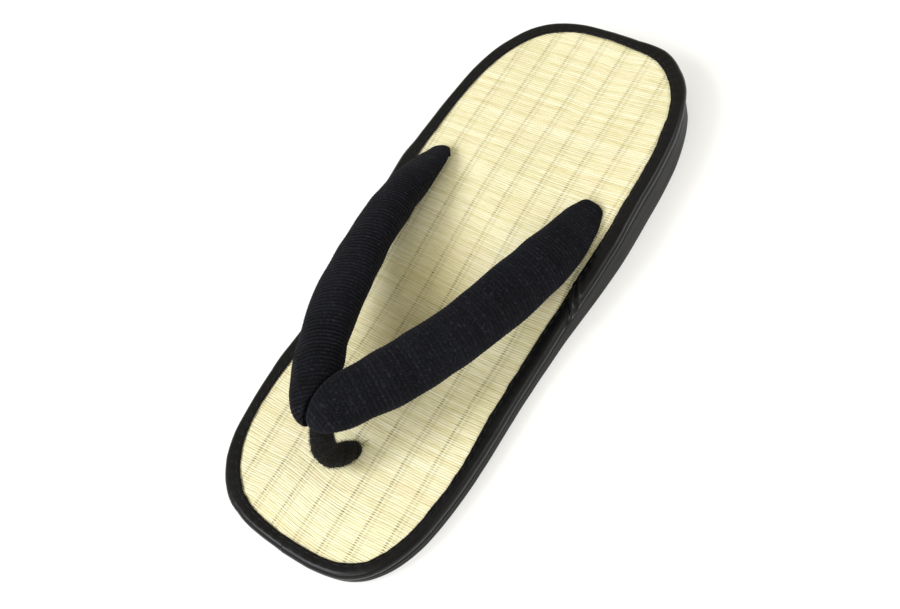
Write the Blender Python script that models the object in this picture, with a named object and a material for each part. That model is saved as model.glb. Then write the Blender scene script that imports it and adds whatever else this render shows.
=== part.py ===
# Zori sandal, for the right foot.
# A woven rush mat with a folded tape round its rim lies on a black wedge sole.
# A padded strap in a V rises from two slits in the mat, and a soft cord holds its front to the toe hole.
# Metres, +Z up, the toe towards -Y, the origin on the floor under the middle of the sole.

import math

import bmesh
import bpy
import numpy as np

# Sole and mat, plan sizes
SOLE_LENGTH = 0.2664
FOREFOOT_WIDTH = 0.1048
WAIST_WIDTH = 0.0998
HEEL_WIDTH = 0.1100
BIG_TOE_SQUARENESS = 4.2
LITTLE_TOE_SQUARENESS = 3.8
HEEL_SQUARENESS = 3.55

# Heights of the mat's top over the floor, and the lift under the toe
FOREFOOT_HEIGHT = 0.0093
HEEL_HEIGHT = 0.0182
TOE_DROP = 0.0014
TOE_SPRING = 0.0014
TOE_SPRING_LENGTH = 0.030

# Mat, and the tape folded round its rim
MAT_THICKNESS = 0.0030
TAPE_THICKNESS = 0.0006
TAPE_ROLL = 0.0022
TAPE_TOP_REACH = 0.0052
TAPE_UNDER_REACH = 0.0048
TAPE_LAP_SWELL = 0.0010

# Sole's side
SOLE_INSET = 0.0008
SOLE_BEVEL = 0.0008

# Strap
STRAP_WIDTH = 0.0230
STRAP_THICKNESS = 0.0160
STRAP_SPREAD = 0.0776
STRAP_TIP_FROM_HEEL = 0.0862
STRAP_TIP_STAGGER = 0.0012
STRAP_FRONT_FROM_TOE = 0.0419
STRAP_RISE = 0.0320
STRAP_END_ROUND = 0.0150
STRAP_END_SHIFT = 0.0010

# Cord between the toes
POST_DIAMETER = 0.0090
POST_BOW = 0.0090
POST_HOLE_FROM_TOE = 0.0460
POST_HOLE_SIDE = 0.0030
POST_DEPTH_IN_SOLE = 0.0020

# Room left between two pieces that touch
CLEARANCE = 0.0003

# Places along the sole, as shares of its half length, toe at -1 and heel at 1
HEEL_RISE_START_SHARE = -0.31
HEEL_RISE_END_SHARE = 0.43
TOE_DROP_START_SHARE = -0.45
LAP_FRONT_SHARE = -0.06
LAP_BACK_SHARE = 0.37
LAP_EASE_SHARE = 0.05

# Share of the strap's reach where its front starts to sit off the middle
SHIFT_START_SHARE = 0.70

# Strap's tail in its slit, as shares of the mat's thickness, and the least size of its rounded end
TAIL_DEPTH_SHARES = (0.80, 0.25)
END_ROUND_SHARE = 0.20

# Cord's end in the sole, as a share of its diameter
POST_END_SHARE = 0.80

# Facets, and the points that the rim is first measured with
RIM_SAMPLES = 2001
RIM_STATIONS = 84
FOLD_STEPS = 4
STRAP_RINGS = 25
STRAP_SIDES = 16
POST_RINGS = 14
POST_SIDES = 14

HALF_LENGTH = SOLE_LENGTH / 2.0

# Width along the sole: place as a share of the half length, full width
WIDTHS = (
    (-1.00, FOREFOOT_WIDTH),
    (-0.58, FOREFOOT_WIDTH),
    (-0.26, WAIST_WIDTH),
    (0.30, HEEL_WIDTH),
    (1.00, HEEL_WIDTH),
)

# Strap, from the mat to the middle of the V
# reach, rise and spread as shares of their sizes, width and thickness as shares,
# and how far the padded face leans outwards, in degrees
STRAP_ROWS = (
    # reach, spread, rise, width, thickness, lean
    (0.012, 1.000, 0.055, 0.30, 0.150, 0.0),
    (0.050, 1.000, 0.100, 0.50, 0.290, 6.0),
    (0.120, 1.005, 0.190, 0.80, 0.600, 14.0),
    (0.193, 0.990, 0.290, 0.95, 0.840, 22.0),
    (0.265, 0.959, 0.400, 1.00, 0.960, 28.0),
    (0.409, 0.874, 0.612, 1.00, 1.000, 34.0),
    (0.552, 0.758, 0.770, 1.00, 1.000, 32.0),
    (0.696, 0.592, 0.895, 1.00, 1.000, 26.0),
    (0.840, 0.358, 0.970, 0.95, 1.000, 20.0),
    (0.930, 0.170, 1.000, 0.86, 0.980, 14.0),
    (1.015, 0.000, 0.990, 0.78, 0.920, 10.0),
)

# Cord, from the strap down to its hole: bow forwards and step sideways as shares of POST_BOW
# and POST_HOLE_SIDE, height as a share of the strap's rise, thickness as a share of the diameter
POST_ROWS = (
    # bow, side, height, thickness
    (0.45, 0.25, 0.86, 0.90),
    (0.74, 0.28, 0.72, 1.00),
    (1.00, 0.38, 0.54, 1.02),
    (0.98, 0.60, 0.36, 1.04),
    (0.66, 0.86, 0.19, 1.00),
    (0.24, 1.00, 0.07, 0.92),
)


def smoothstep(share):
    share = np.clip(share, 0.0, 1.0)
    return share * share * (3.0 - 2.0 * share)


def between(rows, place):
    """A value that eases from row to row of a (place, value) table."""
    value = np.full_like(np.asarray(place, float), rows[0][1])
    for (start, low), (end, high) in zip(rows, rows[1:]):
        value = value + (high - low) * smoothstep((place - start) / (end - start))
    return value


def curve(points, count):
    """Rows read from one smooth curve through the given rows, evenly along its length in space."""
    points = np.asarray(points, float)
    steps = np.linalg.norm(np.diff(points[:, :3], axis=0), axis=1)
    knots = np.concatenate([[0.0], np.cumsum(steps)])
    slopes = np.gradient(points, knots, axis=0)
    wanted = np.linspace(0.0, knots[-1], count)
    index = np.clip(np.searchsorted(knots, wanted, side="right") - 1, 0, len(knots) - 2)
    span = (knots[index + 1] - knots[index])[:, None]
    share = (wanted[:, None] - knots[index][:, None]) / span
    start_weight = 2.0 * share**3 - 3.0 * share**2 + 1.0
    end_weight = 1.0 - start_weight
    start_slope = share**3 - 2.0 * share**2 + share
    end_slope = share**3 - share**2
    return (
        start_weight * points[index]
        + end_weight * points[index + 1]
        + span * (start_slope * slopes[index] + end_slope * slopes[index + 1])
    )


def mat_top(y):
    """Height of the mat's upper face: level forefoot, a ramp through the arch, a raised heel."""
    place = np.asarray(y, float) / HALF_LENGTH
    ramp = smoothstep((place - HEEL_RISE_START_SHARE) / (HEEL_RISE_END_SHARE - HEEL_RISE_START_SHARE))
    drop = np.clip((TOE_DROP_START_SHARE - place) / (1.0 + TOE_DROP_START_SHARE), 0.0, 1.0) ** 2
    return FOREFOOT_HEIGHT + (HEEL_HEIGHT - FOREFOOT_HEIGHT) * ramp - TOE_DROP * drop


def sole_underside(y):
    """Height of the sole's lower face: flat on the floor, with a small spring under the toe."""
    start = HALF_LENGTH - TOE_SPRING_LENGTH
    share = np.clip((-np.asarray(y, float) - start) / TOE_SPRING_LENGTH, 0.0, 1.0)
    return TOE_SPRING * share**2


def half_rim(toe_squareness):
    """Points and outward directions along one side of the sole, from the toe to the heel, as if on +X."""
    turn = np.linspace(0.0, math.pi, RIM_SAMPLES)
    y = -HALF_LENGTH * np.cos(turn)
    squareness = np.where(y < 0.0, toe_squareness, HEEL_SQUARENESS)
    fullness = np.clip(1.0 - np.abs(y / HALF_LENGTH) ** squareness, 0.0, 1.0) ** (1.0 / squareness)
    x = 0.5 * between(WIDTHS, y / HALF_LENGTH) * fullness
    heading = np.unwrap(np.arctan2(np.gradient(y), np.gradient(x)))
    length = np.concatenate([[0.0], np.cumsum(np.hypot(np.diff(x), np.diff(y)))])
    turned = np.concatenate([[0.0], np.cumsum(np.abs(np.diff(heading)))])
    # Stations crowd where the edge turns
    share = 0.5 * length / length[-1] + 0.5 * turned / turned[-1]
    wanted = np.linspace(0.0, 1.0, RIM_STATIONS // 2 + 1)
    heading = np.interp(wanted, share, heading)
    line = np.column_stack([np.interp(wanted, share, x), np.interp(wanted, share, y)])
    outward = np.column_stack([np.sin(heading), -np.cos(heading)])
    line[[0, -1], 0] = 0.0
    outward[[0, -1]] = ((0.0, -1.0), (0.0, 1.0))
    return line, outward


def rim():
    """Points and outward directions round the sole's edge, from the toe up the +X side and back."""
    plan, outward = half_rim(BIG_TOE_SQUARENESS)
    other_plan, other_outward = half_rim(LITTLE_TOE_SQUARENESS)
    mirror = np.array([-1.0, 1.0])
    plan = np.concatenate([plan, other_plan[-2:0:-1] * mirror])
    outward = np.concatenate([outward, other_outward[-2:0:-1] * mirror])
    return plan, outward


RIM, OUTWARD = rim()


def ring(outward, height):
    """One closed line round the sole: an offset from its edge, and a height that may follow y."""
    plan = RIM + OUTWARD * np.asarray(outward, float).reshape(-1, 1)
    level = height(plan[:, 1]) if callable(height) else np.full(len(plan), height)
    return np.column_stack([plan, level])


def over_mat(lift):
    return lambda y: mat_top(y) + lift


def fold(inset, top_reach, under_reach):
    """Section of the rim inside the tape's outer face: outward, up and the way that it faces."""
    radius = TAPE_ROLL - inset
    top = TAPE_THICKNESS + CLEARANCE - inset
    bottom = -MAT_THICKNESS - CLEARANCE - TAPE_THICKNESS + inset
    rows = [(-top_reach, top, 90.0)]
    for step in range(FOLD_STEPS + 1):
        angle = 90.0 - 90.0 * step / FOLD_STEPS
        across = radius * math.cos(math.radians(angle))
        rise = radius * math.sin(math.radians(angle))
        rows.append((across - TAPE_ROLL, top - radius + rise, angle))
    for step in range(FOLD_STEPS + 1):
        angle = -90.0 * step / FOLD_STEPS
        across = radius * math.cos(math.radians(angle))
        rise = radius * math.sin(math.radians(angle))
        rows.append((across - TAPE_ROLL, bottom + radius + rise, angle))
    rows.append((-under_reach, bottom, -90.0))
    return rows


def loft(rings, wraps=False):
    """Faces between closed lines of equally many points, and back to the first line if it wraps."""
    count = len(rings[0])
    faces = []
    for line in range(len(rings) if wraps else len(rings) - 1):
        low = line * count
        high = (line + 1) % len(rings) * count
        for point in range(count):
            after = (point + 1) % count
            faces.append((low + point, low + after, high + after, high + point))
    return faces


def rung_cap(first, count):
    """Strips from side to side of a line round the sole, so that the cap may curve along y."""
    faces = []
    for point in range(count // 2):
        corners = [point, point + 1, count - point - 1, (count - point) % count]
        corners = list(dict.fromkeys(corners))
        faces.append([first + corner for corner in corners])
    return faces


def finish(colour, roughness, name):
    material = bpy.data.materials.new(name)
    material.use_nodes = True
    shader = material.node_tree.nodes["Principled BSDF"]
    shader.inputs["Base Color"].default_value = (*colour, 1.0)
    shader.inputs["Roughness"].default_value = roughness
    material.diffuse_color = (*colour, 1.0)
    return material


def mesh_object(name, points, faces, material, smooth_angle=35.0):
    mesh = bpy.data.meshes.new(name)
    mesh.from_pydata([tuple(point) for point in points], [], faces)
    shape = bmesh.new()
    shape.from_mesh(mesh)
    bmesh.ops.recalc_face_normals(shape, faces=shape.faces)
    shape.to_mesh(mesh)
    shape.free()
    mesh.shade_smooth()
    mesh.set_sharp_from_angle(angle=math.radians(smooth_angle))
    mesh.materials.append(material)
    made = bpy.data.objects.new(name, mesh)
    bpy.context.scene.collection.objects.link(made)
    return made


def rim_solid(name, rings, material):
    """A slab from lines round the rim, closed below and above by strips."""
    count = len(rings[0])
    faces = loft(rings) + rung_cap(0, count) + rung_cap((len(rings) - 1) * count, count)
    return mesh_object(name, np.concatenate(rings), faces, material)


def boolean(target, tool, operation):
    """A live Boolean, with its tool hidden as a guide."""
    cut = target.modifiers.new(f"{operation.title()} {tool.name}", "BOOLEAN")
    cut.operation = operation
    cut.solver = "EXACT"
    cut.object = tool
    tool.hide_render = True
    tool.display_type = "WIRE"


def build_sole(material):
    edge = -SOLE_INSET
    seat = -MAT_THICKNESS - CLEARANCE
    tape_seat = seat - TAPE_THICKNESS - CLEARANCE
    step = -TAPE_UNDER_REACH - CLEARANCE
    rings = [
        ring(edge - SOLE_BEVEL, sole_underside),
        ring(edge, lambda y: sole_underside(y) + SOLE_BEVEL),
        ring(edge, over_mat(tape_seat - 0.5 * SOLE_BEVEL)),
        ring(edge - 0.5 * SOLE_BEVEL, over_mat(tape_seat)),
        ring(step, over_mat(tape_seat)),
        ring(step, over_mat(seat)),
    ]
    return rim_solid("sole", rings, material)


def build_mat(material):
    rows = fold(TAPE_THICKNESS + CLEARANCE, 0.0, 0.0)[1:-1]
    rings = [ring(outward, over_mat(up)) for outward, up, _ in reversed(rows)]
    return rim_solid("tatami_mat", rings, material)


def lap(y):
    """How much of the doubled tape lies here, from 0 to 1: it laps where each strap end is tucked in."""
    place = y / HALF_LENGTH
    front = smoothstep((place - LAP_FRONT_SHARE) / LAP_EASE_SHARE)
    back = smoothstep((LAP_BACK_SHARE - place) / LAP_EASE_SHARE)
    return front * back


def build_binding(material):
    outer = fold(0.0, TAPE_TOP_REACH, TAPE_UNDER_REACH)
    inner = fold(TAPE_THICKNESS, TAPE_TOP_REACH, TAPE_UNDER_REACH)
    lowest = outer[-1][1]
    highest = outer[0][1]
    swell = TAPE_LAP_SWELL * lap(RIM[:, 1])
    rings = []
    for outward, up, facing in outer:
        share = (up - lowest) / (highest - lowest)
        across = math.cos(math.radians(facing)) * share
        raised = math.sin(math.radians(facing)) * share
        line = ring(outward + swell * across, over_mat(up))
        line[:, 2] += swell * raised
        rings.append(line)
    for outward, up, _ in reversed(inner):
        rings.append(ring(outward, over_mat(up)))
    return mesh_object("edge_binding", np.concatenate(rings), loft(rings, wraps=True), material)


def sweep(rows, sides, grow=0.0):
    """Rings of a padded tube. rows hold x, y, z, half width, half thickness and lean in degrees."""
    path = rows[:, :3]
    along = np.gradient(path, axis=0)
    along /= np.linalg.norm(along, axis=1)[:, None]
    rings = []
    across = np.array([1.0, 0.0, 0.0])
    for centre, way, (half_width, half_thickness, lean) in zip(path, along, rows[:, 3:]):
        across = across - way * across.dot(way)
        across /= np.linalg.norm(across)
        up = np.cross(way, across)
        turn = math.radians(lean)
        wide = across * math.cos(turn) - up * math.sin(turn)
        thick = up * math.cos(turn) + across * math.sin(turn)
        points = []
        for side in range(sides):
            angle = 2.0 * math.pi * side / sides
            reach = (half_width + grow) * math.cos(angle)
            rise = (half_thickness + grow) * math.sin(angle)
            points.append(centre + wide * reach + thick * rise)
        rings.append(np.array(points))
    return rings


def tube(name, rings, material):
    count = len(rings[0])
    last = (len(rings) - 1) * count
    faces = loft(rings)
    faces.append(list(range(count - 1, -1, -1)))
    faces.append(list(range(last, last + count)))
    return mesh_object(name, np.concatenate(rings), faces, material)


def strap_rows(side):
    """The arm's centre line and section on one side, from the slit in the mat to the front of the V."""
    tip_y = HALF_LENGTH - STRAP_TIP_FROM_HEEL - STRAP_TIP_STAGGER * side
    arm_reach = tip_y + HALF_LENGTH - STRAP_FRONT_FROM_TOE
    spread = 0.5 * STRAP_SPREAD * side
    first = STRAP_ROWS[0]
    rows = []
    for depth in TAIL_DEPTH_SHARES:
        height = mat_top(tip_y) - depth * MAT_THICKNESS
        rows.append((spread, tip_y, height, first[3], first[4], 0.0))
    for reach, across, rise, width, thickness, lean in STRAP_ROWS:
        y = tip_y - reach * arm_reach
        shift = STRAP_END_SHIFT * smoothstep((reach - SHIFT_START_SHARE) / (1.0 - SHIFT_START_SHARE))
        height = mat_top(y) + rise * STRAP_RISE + 0.5 * shift * side
        rows.append((across * spread - shift, y, height, width, thickness, lean * side))
    rows = curve(rows, STRAP_RINGS)
    steps = np.linalg.norm(np.diff(rows[:, :3], axis=0), axis=1)
    passed = np.concatenate([[0.0], np.cumsum(steps)])
    left = (passed[-1] - passed) / STRAP_END_ROUND
    rounding = np.sqrt(np.clip(1.0 - (1.0 - left).clip(0.0, 1.0) ** 2, END_ROUND_SHARE**2, 1.0))
    rows[:, 3] *= 0.5 * STRAP_WIDTH * rounding
    rows[:, 4] *= 0.5 * STRAP_THICKNESS * rounding
    return rows


def post_rows():
    """The cord's centre line, from inside the strap, bowed forwards, and down through its hole."""
    hole_y = -HALF_LENGTH + POST_HOLE_FROM_TOE
    rows = []
    for bow, side, height, thickness in POST_ROWS:
        x = side * POST_HOLE_SIDE
        y = hole_y - bow * POST_BOW
        rows.append((x, y, mat_top(y) + height * STRAP_RISE, thickness, thickness, 0.0))
    for depth in (0.5 * MAT_THICKNESS, MAT_THICKNESS + CLEARANCE + POST_DEPTH_IN_SOLE):
        height = mat_top(hole_y) - depth
        rows.append((POST_HOLE_SIDE, hole_y, height, POST_END_SHARE, POST_END_SHARE, 0.0))
    rows = curve(rows, POST_RINGS)
    rows[:, 3:5] *= 0.5 * POST_DIAMETER
    return rows


def with_longer_ends(rows, start, end):
    """The same rows with the first and the last one moved on along the line."""
    rows = rows.copy()
    first = rows[0, :3] - rows[1, :3]
    last = rows[-1, :3] - rows[-2, :3]
    rows[0, :3] += first / np.linalg.norm(first) * start
    rows[-1, :3] += last / np.linalg.norm(last) * end
    return rows


def build_strap(material, guide):
    arms = []
    slits = []
    for side, name in ((1.0, "strap"), (-1.0, "strap_second_arm")):
        rows = strap_rows(side)
        arms.append(tube(name, sweep(rows, STRAP_SIDES), material))
        tail = int(np.argmax(rows[:, 2] > mat_top(rows[:, 1]) + 2.0 * CLEARANCE)) + 2
        below = with_longer_ends(rows[:tail], MAT_THICKNESS, 0.0)
        slits.append(tube(f"slit_{name}", sweep(below, STRAP_SIDES, grow=CLEARANCE), guide))
    boolean(arms[0], arms[1], "UNION")
    return arms[0], slits


def build_post(material, guide):
    rows = post_rows()
    post = tube("toe_post", sweep(rows, POST_SIDES), material)
    round_it = with_longer_ends(rows, CLEARANCE, CLEARANCE)
    room = tube("post_room", sweep(round_it, POST_SIDES, grow=CLEARANCE), guide)
    return post, room


def main():
    for old in list(bpy.data.objects):
        bpy.data.objects.remove(old, do_unlink=True)
    rubber = finish((0.012, 0.012, 0.014), 0.55, "black sole")
    rush = finish((0.66, 0.60, 0.38), 0.70, "rush mat")
    ribbon = finish((0.015, 0.015, 0.018), 0.45, "black tape")
    cloth = finish((0.012, 0.013, 0.020), 0.85, "black ribbed cloth")
    pile = finish((0.020, 0.018, 0.018), 0.95, "black pile cord")
    guide = finish((0.8, 0.2, 0.1), 0.5, "guide")
    sole = build_sole(rubber)
    mat = build_mat(rush)
    build_binding(ribbon)
    strap, slits = build_strap(cloth, guide)
    _, room = build_post(pile, guide)
    for slit in slits:
        boolean(mat, slit, "DIFFERENCE")
    for target in (mat, sole, strap):
        boolean(target, room, "DIFFERENCE")


main()
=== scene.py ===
# %% [markdown]
# Zori sandal in Blender
# A zori is a flat sandal: a mat of woven rush bound in black tape, on a black foam wedge, with a
# padded V strap and a soft cord between the toes. This one is for the right foot. Plain solids of
# the same sandal come from CAD. For each of them this lesson makes a finer piece from the same
# sizes, so looks and solids agree. Metres, +Z up, the toe towards -Y and the big toe's side on
# +X.

import math

import bpy
import numpy as np
from mathutils import Matrix, Vector


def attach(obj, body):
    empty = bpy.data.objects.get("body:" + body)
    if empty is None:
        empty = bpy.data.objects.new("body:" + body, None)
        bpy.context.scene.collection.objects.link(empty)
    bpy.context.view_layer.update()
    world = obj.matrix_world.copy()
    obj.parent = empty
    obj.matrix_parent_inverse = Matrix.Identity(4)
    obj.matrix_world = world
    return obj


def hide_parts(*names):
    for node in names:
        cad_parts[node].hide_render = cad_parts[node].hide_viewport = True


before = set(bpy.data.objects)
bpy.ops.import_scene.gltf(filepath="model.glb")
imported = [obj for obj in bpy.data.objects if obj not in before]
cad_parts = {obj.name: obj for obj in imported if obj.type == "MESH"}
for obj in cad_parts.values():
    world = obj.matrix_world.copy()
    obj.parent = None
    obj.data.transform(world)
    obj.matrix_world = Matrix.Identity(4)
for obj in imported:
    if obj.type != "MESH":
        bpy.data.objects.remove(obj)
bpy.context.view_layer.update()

# %% [markdown]
# Sizes
# A shoemaker works from a last and a few widths. So does this lesson: each length is named once,
# and every curve is worked out from these names, the ones that made the solids. A shape that
# needs many numbers, such as the run of the strap, is a short table under a comment that names
# its columns.

# %% Lengths in metres
SOLE_LENGTH = 0.2664
FOREFOOT_WIDTH = 0.1048
WAIST_WIDTH = 0.0998
HEEL_WIDTH = 0.1100
BIG_TOE_SQUARENESS = 4.2
LITTLE_TOE_SQUARENESS = 3.8
HEEL_SQUARENESS = 3.55
FOREFOOT_HEIGHT = 0.0093
HEEL_HEIGHT = 0.0182
TOE_DROP = 0.0014
TOE_SPRING = 0.0014
TOE_SPRING_LENGTH = 0.030
MAT_THICKNESS = 0.0030
TAPE_THICKNESS = 0.0006
TAPE_ROLL = 0.0022
TAPE_TOP_REACH = 0.0052
TAPE_UNDER_REACH = 0.0048
TAPE_LAP_SWELL = 0.0010
SOLE_INSET = 0.0008
SOLE_BEVEL = 0.0008
STRAP_WIDTH = 0.0230
STRAP_THICKNESS = 0.0160
STRAP_SPREAD = 0.0776
STRAP_TIP_FROM_HEEL = 0.0862
STRAP_TIP_STAGGER = 0.0012
STRAP_FRONT_FROM_TOE = 0.0419
STRAP_RISE = 0.0320
STRAP_END_ROUND = 0.0150
STRAP_END_SHIFT = 0.0010
POST_DIAMETER = 0.0090
POST_BOW = 0.0090
POST_HOLE_FROM_TOE = 0.0460
POST_HOLE_SIDE = 0.0030
CLEARANCE = 0.0003

HALF_LENGTH = SOLE_LENGTH / 2.0
HOLE_Y = POST_HOLE_FROM_TOE - HALF_LENGTH

# %% Places along the sole, as shares of its half length
HEEL_RISE_START = -0.31
HEEL_RISE_END = 0.43
TOE_DROP_START = -0.45
SHIFT_START = 0.70

WIDTHS = (
    (-1.00, FOREFOOT_WIDTH),
    (-0.58, FOREFOOT_WIDTH),
    (-0.26, WAIST_WIDTH),
    (0.30, HEEL_WIDTH),
    (1.00, HEEL_WIDTH),
)

# %% Strap and cord, as shares of their own lengths
STRAP_ROWS = (
    # reach, spread, rise, width, thickness, lean
    (0.012, 0.985, 0.050, 0.38, 0.200, 0.0),
    (0.050, 0.985, 0.100, 0.60, 0.360, 6.0),
    (0.120, 0.990, 0.190, 0.82, 0.620, 14.0),
    (0.193, 0.983, 0.290, 0.94, 0.840, 22.0),
    (0.265, 0.959, 0.400, 1.00, 0.960, 28.0),
    (0.409, 0.874, 0.612, 1.00, 1.000, 34.0),
    (0.552, 0.758, 0.770, 1.00, 1.000, 32.0),
    (0.696, 0.592, 0.895, 1.00, 1.000, 26.0),
    (0.840, 0.358, 0.970, 0.95, 1.000, 20.0),
    (0.930, 0.170, 1.000, 0.86, 0.980, 14.0),
    (1.026, 0.000, 0.980, 0.82, 0.960, 10.0),
)
POST_ROWS = (
    # bow, side, height, thickness
    (0.45, 0.45, 0.86, 0.90),
    (0.74, 0.48, 0.72, 1.00),
    (0.98, 0.56, 0.54, 1.02),
    (0.95, 0.70, 0.36, 1.04),
    (0.62, 0.84, 0.19, 1.00),
    (0.24, 0.86, 0.07, 0.92),
)

# %% [markdown]
# Outline and heights
# Seen from above, a zori's sole is a squared oval, a little narrower at the waist. An oval
# formula with a power above two squares it off, and the power may differ at the two toe corners
# and the heel. Seen from the side, the mat is level in front, climbs through the arch and is
# level again under the heel. A smooth step joins the levels without a kink, which a straight ramp
# would show in the reflections.

# %% Smooth steps and curves


def smoothstep(share):
    share = np.clip(share, 0.0, 1.0)
    return share * share * (3.0 - 2.0 * share)


def between(rows, place):
    """A value that eases from row to row of a (place, value) table."""
    value = np.full_like(np.asarray(place, float), rows[0][1])
    for (start, low), (end, high) in zip(rows, rows[1:]):
        value = value + (high - low) * smoothstep((place - start) / (end - start))
    return value


def curve(points, count):
    """Rows read from one smooth curve through the given rows, evenly along its length in space."""
    points = np.asarray(points, float)
    steps = np.linalg.norm(np.diff(points[:, :3], axis=0), axis=1)
    knots = np.concatenate([[0.0], np.cumsum(steps)])
    slopes = np.gradient(points, knots, axis=0)
    wanted = np.linspace(0.0, knots[-1], count)
    index = np.clip(np.searchsorted(knots, wanted, side="right") - 1, 0, len(knots) - 2)
    span = (knots[index + 1] - knots[index])[:, None]
    share = (wanted[:, None] - knots[index][:, None]) / span
    start_weight = 2.0 * share**3 - 3.0 * share**2 + 1.0
    start_slope = share**3 - 2.0 * share**2 + share
    end_slope = share**3 - share**2
    return (
        start_weight * points[index]
        + (1.0 - start_weight) * points[index + 1]
        + span * (start_slope * slopes[index] + end_slope * slopes[index + 1])
    )


# %% Heights along the sole


def mat_top(y):
    """Height of the mat's upper face: level forefoot, a ramp through the arch, a raised heel."""
    place = np.asarray(y, float) / HALF_LENGTH
    ramp = smoothstep((place - HEEL_RISE_START) / (HEEL_RISE_END - HEEL_RISE_START))
    drop = np.clip((TOE_DROP_START - place) / (1.0 + TOE_DROP_START), 0.0, 1.0) ** 2
    return FOREFOOT_HEIGHT + (HEEL_HEIGHT - FOREFOOT_HEIGHT) * ramp - TOE_DROP * drop


def sole_underside(y):
    """Height of the sole's lower face: flat on the floor, with a small spring under the toe."""
    start = HALF_LENGTH - TOE_SPRING_LENGTH
    share = np.clip((-np.asarray(y, float) - start) / TOE_SPRING_LENGTH, 0.0, 1.0)
    return TOE_SPRING * share**2


# %% The squared oval


def half_rim(toe_squareness, stations):
    """Points and outward directions along one side, from the toe to the heel, as if on +X."""
    turn = np.linspace(0.0, math.pi, 8001)
    y = -HALF_LENGTH * np.cos(turn)
    squareness = np.where(y < 0.0, toe_squareness, HEEL_SQUARENESS)
    fullness = np.clip(1.0 - np.abs(y / HALF_LENGTH) ** squareness, 0.0, 1.0) ** (1.0 / squareness)
    x = 0.5 * between(WIDTHS, y / HALF_LENGTH) * fullness
    heading = np.unwrap(np.arctan2(np.gradient(y), np.gradient(x)))
    length = np.concatenate([[0.0], np.cumsum(np.hypot(np.diff(x), np.diff(y)))])
    wanted = np.linspace(0.0, length[-1], stations // 2 + 1)
    heading = np.interp(wanted, length, heading)
    line = np.column_stack([np.interp(wanted, length, x), np.interp(wanted, length, y)])
    outward = np.column_stack([np.sin(heading), -np.cos(heading)])
    line[[0, -1], 0] = 0.0
    outward[[0, -1]] = ((0.0, -1.0), (0.0, 1.0))
    return line, outward


def rim(stations):
    """Points, outward directions and lengths round the edge, up the +X side from the toe and back."""
    plan, outward = half_rim(BIG_TOE_SQUARENESS, stations)
    other_plan, other_outward = half_rim(LITTLE_TOE_SQUARENESS, stations)
    mirror = np.array([-1.0, 1.0])
    plan = np.concatenate([plan, other_plan[-2:0:-1] * mirror])
    outward = np.concatenate([outward, other_outward[-2:0:-1] * mirror])
    steps = np.linalg.norm(np.diff(plan, axis=0, append=plan[:1]), axis=1)
    return plan, outward, np.concatenate([[0.0], np.cumsum(steps)[:-1]])


WIDTH_STATIONS = 960


def half_width(y, inset, toe_squareness):
    """How far the sole reaches to one side, less an inset measured squarely off its edge."""
    line, outward = half_rim(toe_squareness, WIDTH_STATIONS)
    line = line - outward * inset
    return np.interp(y, line[:, 1], line[:, 0])


print("once round the edge:", round(float(rim(WIDTH_STATIONS)[2][-1]), 4), "m")

# %% [markdown]
# The hand of the maker
# Formulas give a rim that is too even. On the real sandal the tape is pulled round by hand, so
# the outline wanders by a millimetre or two, and the tape's inner edge wanders as well. A table
# of pushes at angles round the sole gives both. The same pushes move the sole, the mat, the tape
# and the stitches, so nothing comes apart.

# %% Pushes round the rim
RIM_HAND = (
    # turn round the sole in degrees (0 on +X, 90 at the heel), push outward in mm, extra reach
    # of the tape in mm
    (-160, 0.0, 0.8), (-150, 0.2, 1.2), (-145, 0.9, 0.6), (-139, 1.7, 0.6),
    (-134, 1.6, 1.1), (-127, 0.1, 1.3), (-117, -1.1, 0.9), (-104, -0.4, 0.5),
    (-90, 0.9, 0.3), (-76, 1.2, 0.4), (-63, 0.7, 0.3), (-52, 0.0, -0.1),
    (-42, 0.1, -0.3), (-34, -0.5, -0.2), (-29, -0.8, 0.0), (-25, -0.4, 0.3),
    (-20, 0.4, 0.8), (-15, 0.9, 1.1), (-9, 0.8, 1.2), (-3, 0.3, 1.0),
    (10, 0.0, 1.0), (23, 0.2, 1.1), (28, 0.7, 1.2), (34, 1.2, 1.1),
    (40, 1.2, 0.8), (46, 1.2, 1.3), (53, 0.4, 1.7), (63, 0.4, 2.1),
    (76, -0.8, 0.8), (90, 0.2, 0.2), (104, 0.3, 0.4), (117, 0.3, 1.3),
    (127, 0.8, 1.5), (135, 1.2, 1.5), (141, 1.3, 1.3), (147, 0.8, 1.3),
    (155, -0.1, 1.4), (162, -0.2, 1.3), (180, 0.2, 1.0),
)
HALF_WIDE = 0.0525


def by_hand(points, column):
    """A column of the table above in metres, for points anywhere on the sole."""
    turn = np.degrees(np.arctan2(points[:, 1] / HALF_LENGTH, points[:, 0] / HALF_WIDE))
    places = [row[0] for row in RIM_HAND]
    return 0.001 * np.interp(turn, places, [row[column] for row in RIM_HAND], period=360.0)


def nudged(points):
    """The points, pushed a little in or out near the edge, where the outline isn't quite even."""
    moved = np.array(points, float)
    x = moved[:, 0] / HALF_WIDE
    y = moved[:, 1] / HALF_LENGTH
    near = smoothstep((np.maximum(np.abs(x), np.abs(y)) - 0.40) / 0.45)
    across = np.sign(x) * np.abs(x) ** 2.8 / HALF_WIDE
    along = np.sign(y) * np.abs(y) ** 2.8 / HALF_LENGTH
    way = np.stack([across, along], axis=1)
    way /= np.linalg.norm(way, axis=1)[:, None] + 1e-9
    moved[:, :2] += way * (by_hand(moved, 1) * near)[:, None]
    return moved


def noise(values, seed, scale):
    """Smooth wandering of one number, about -1 to 1, the same at each run."""
    dice = np.random.default_rng(seed)
    phases = dice.uniform(0.0, 2.0 * math.pi, 6)
    total = np.zeros_like(np.asarray(values, float))
    for octave, phase in enumerate(phases):
        total = total + np.sin(values / scale * (1.0 + 0.83 * octave) + phase) / (1.0 + 0.5 * octave)
    return total / 2.2


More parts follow.
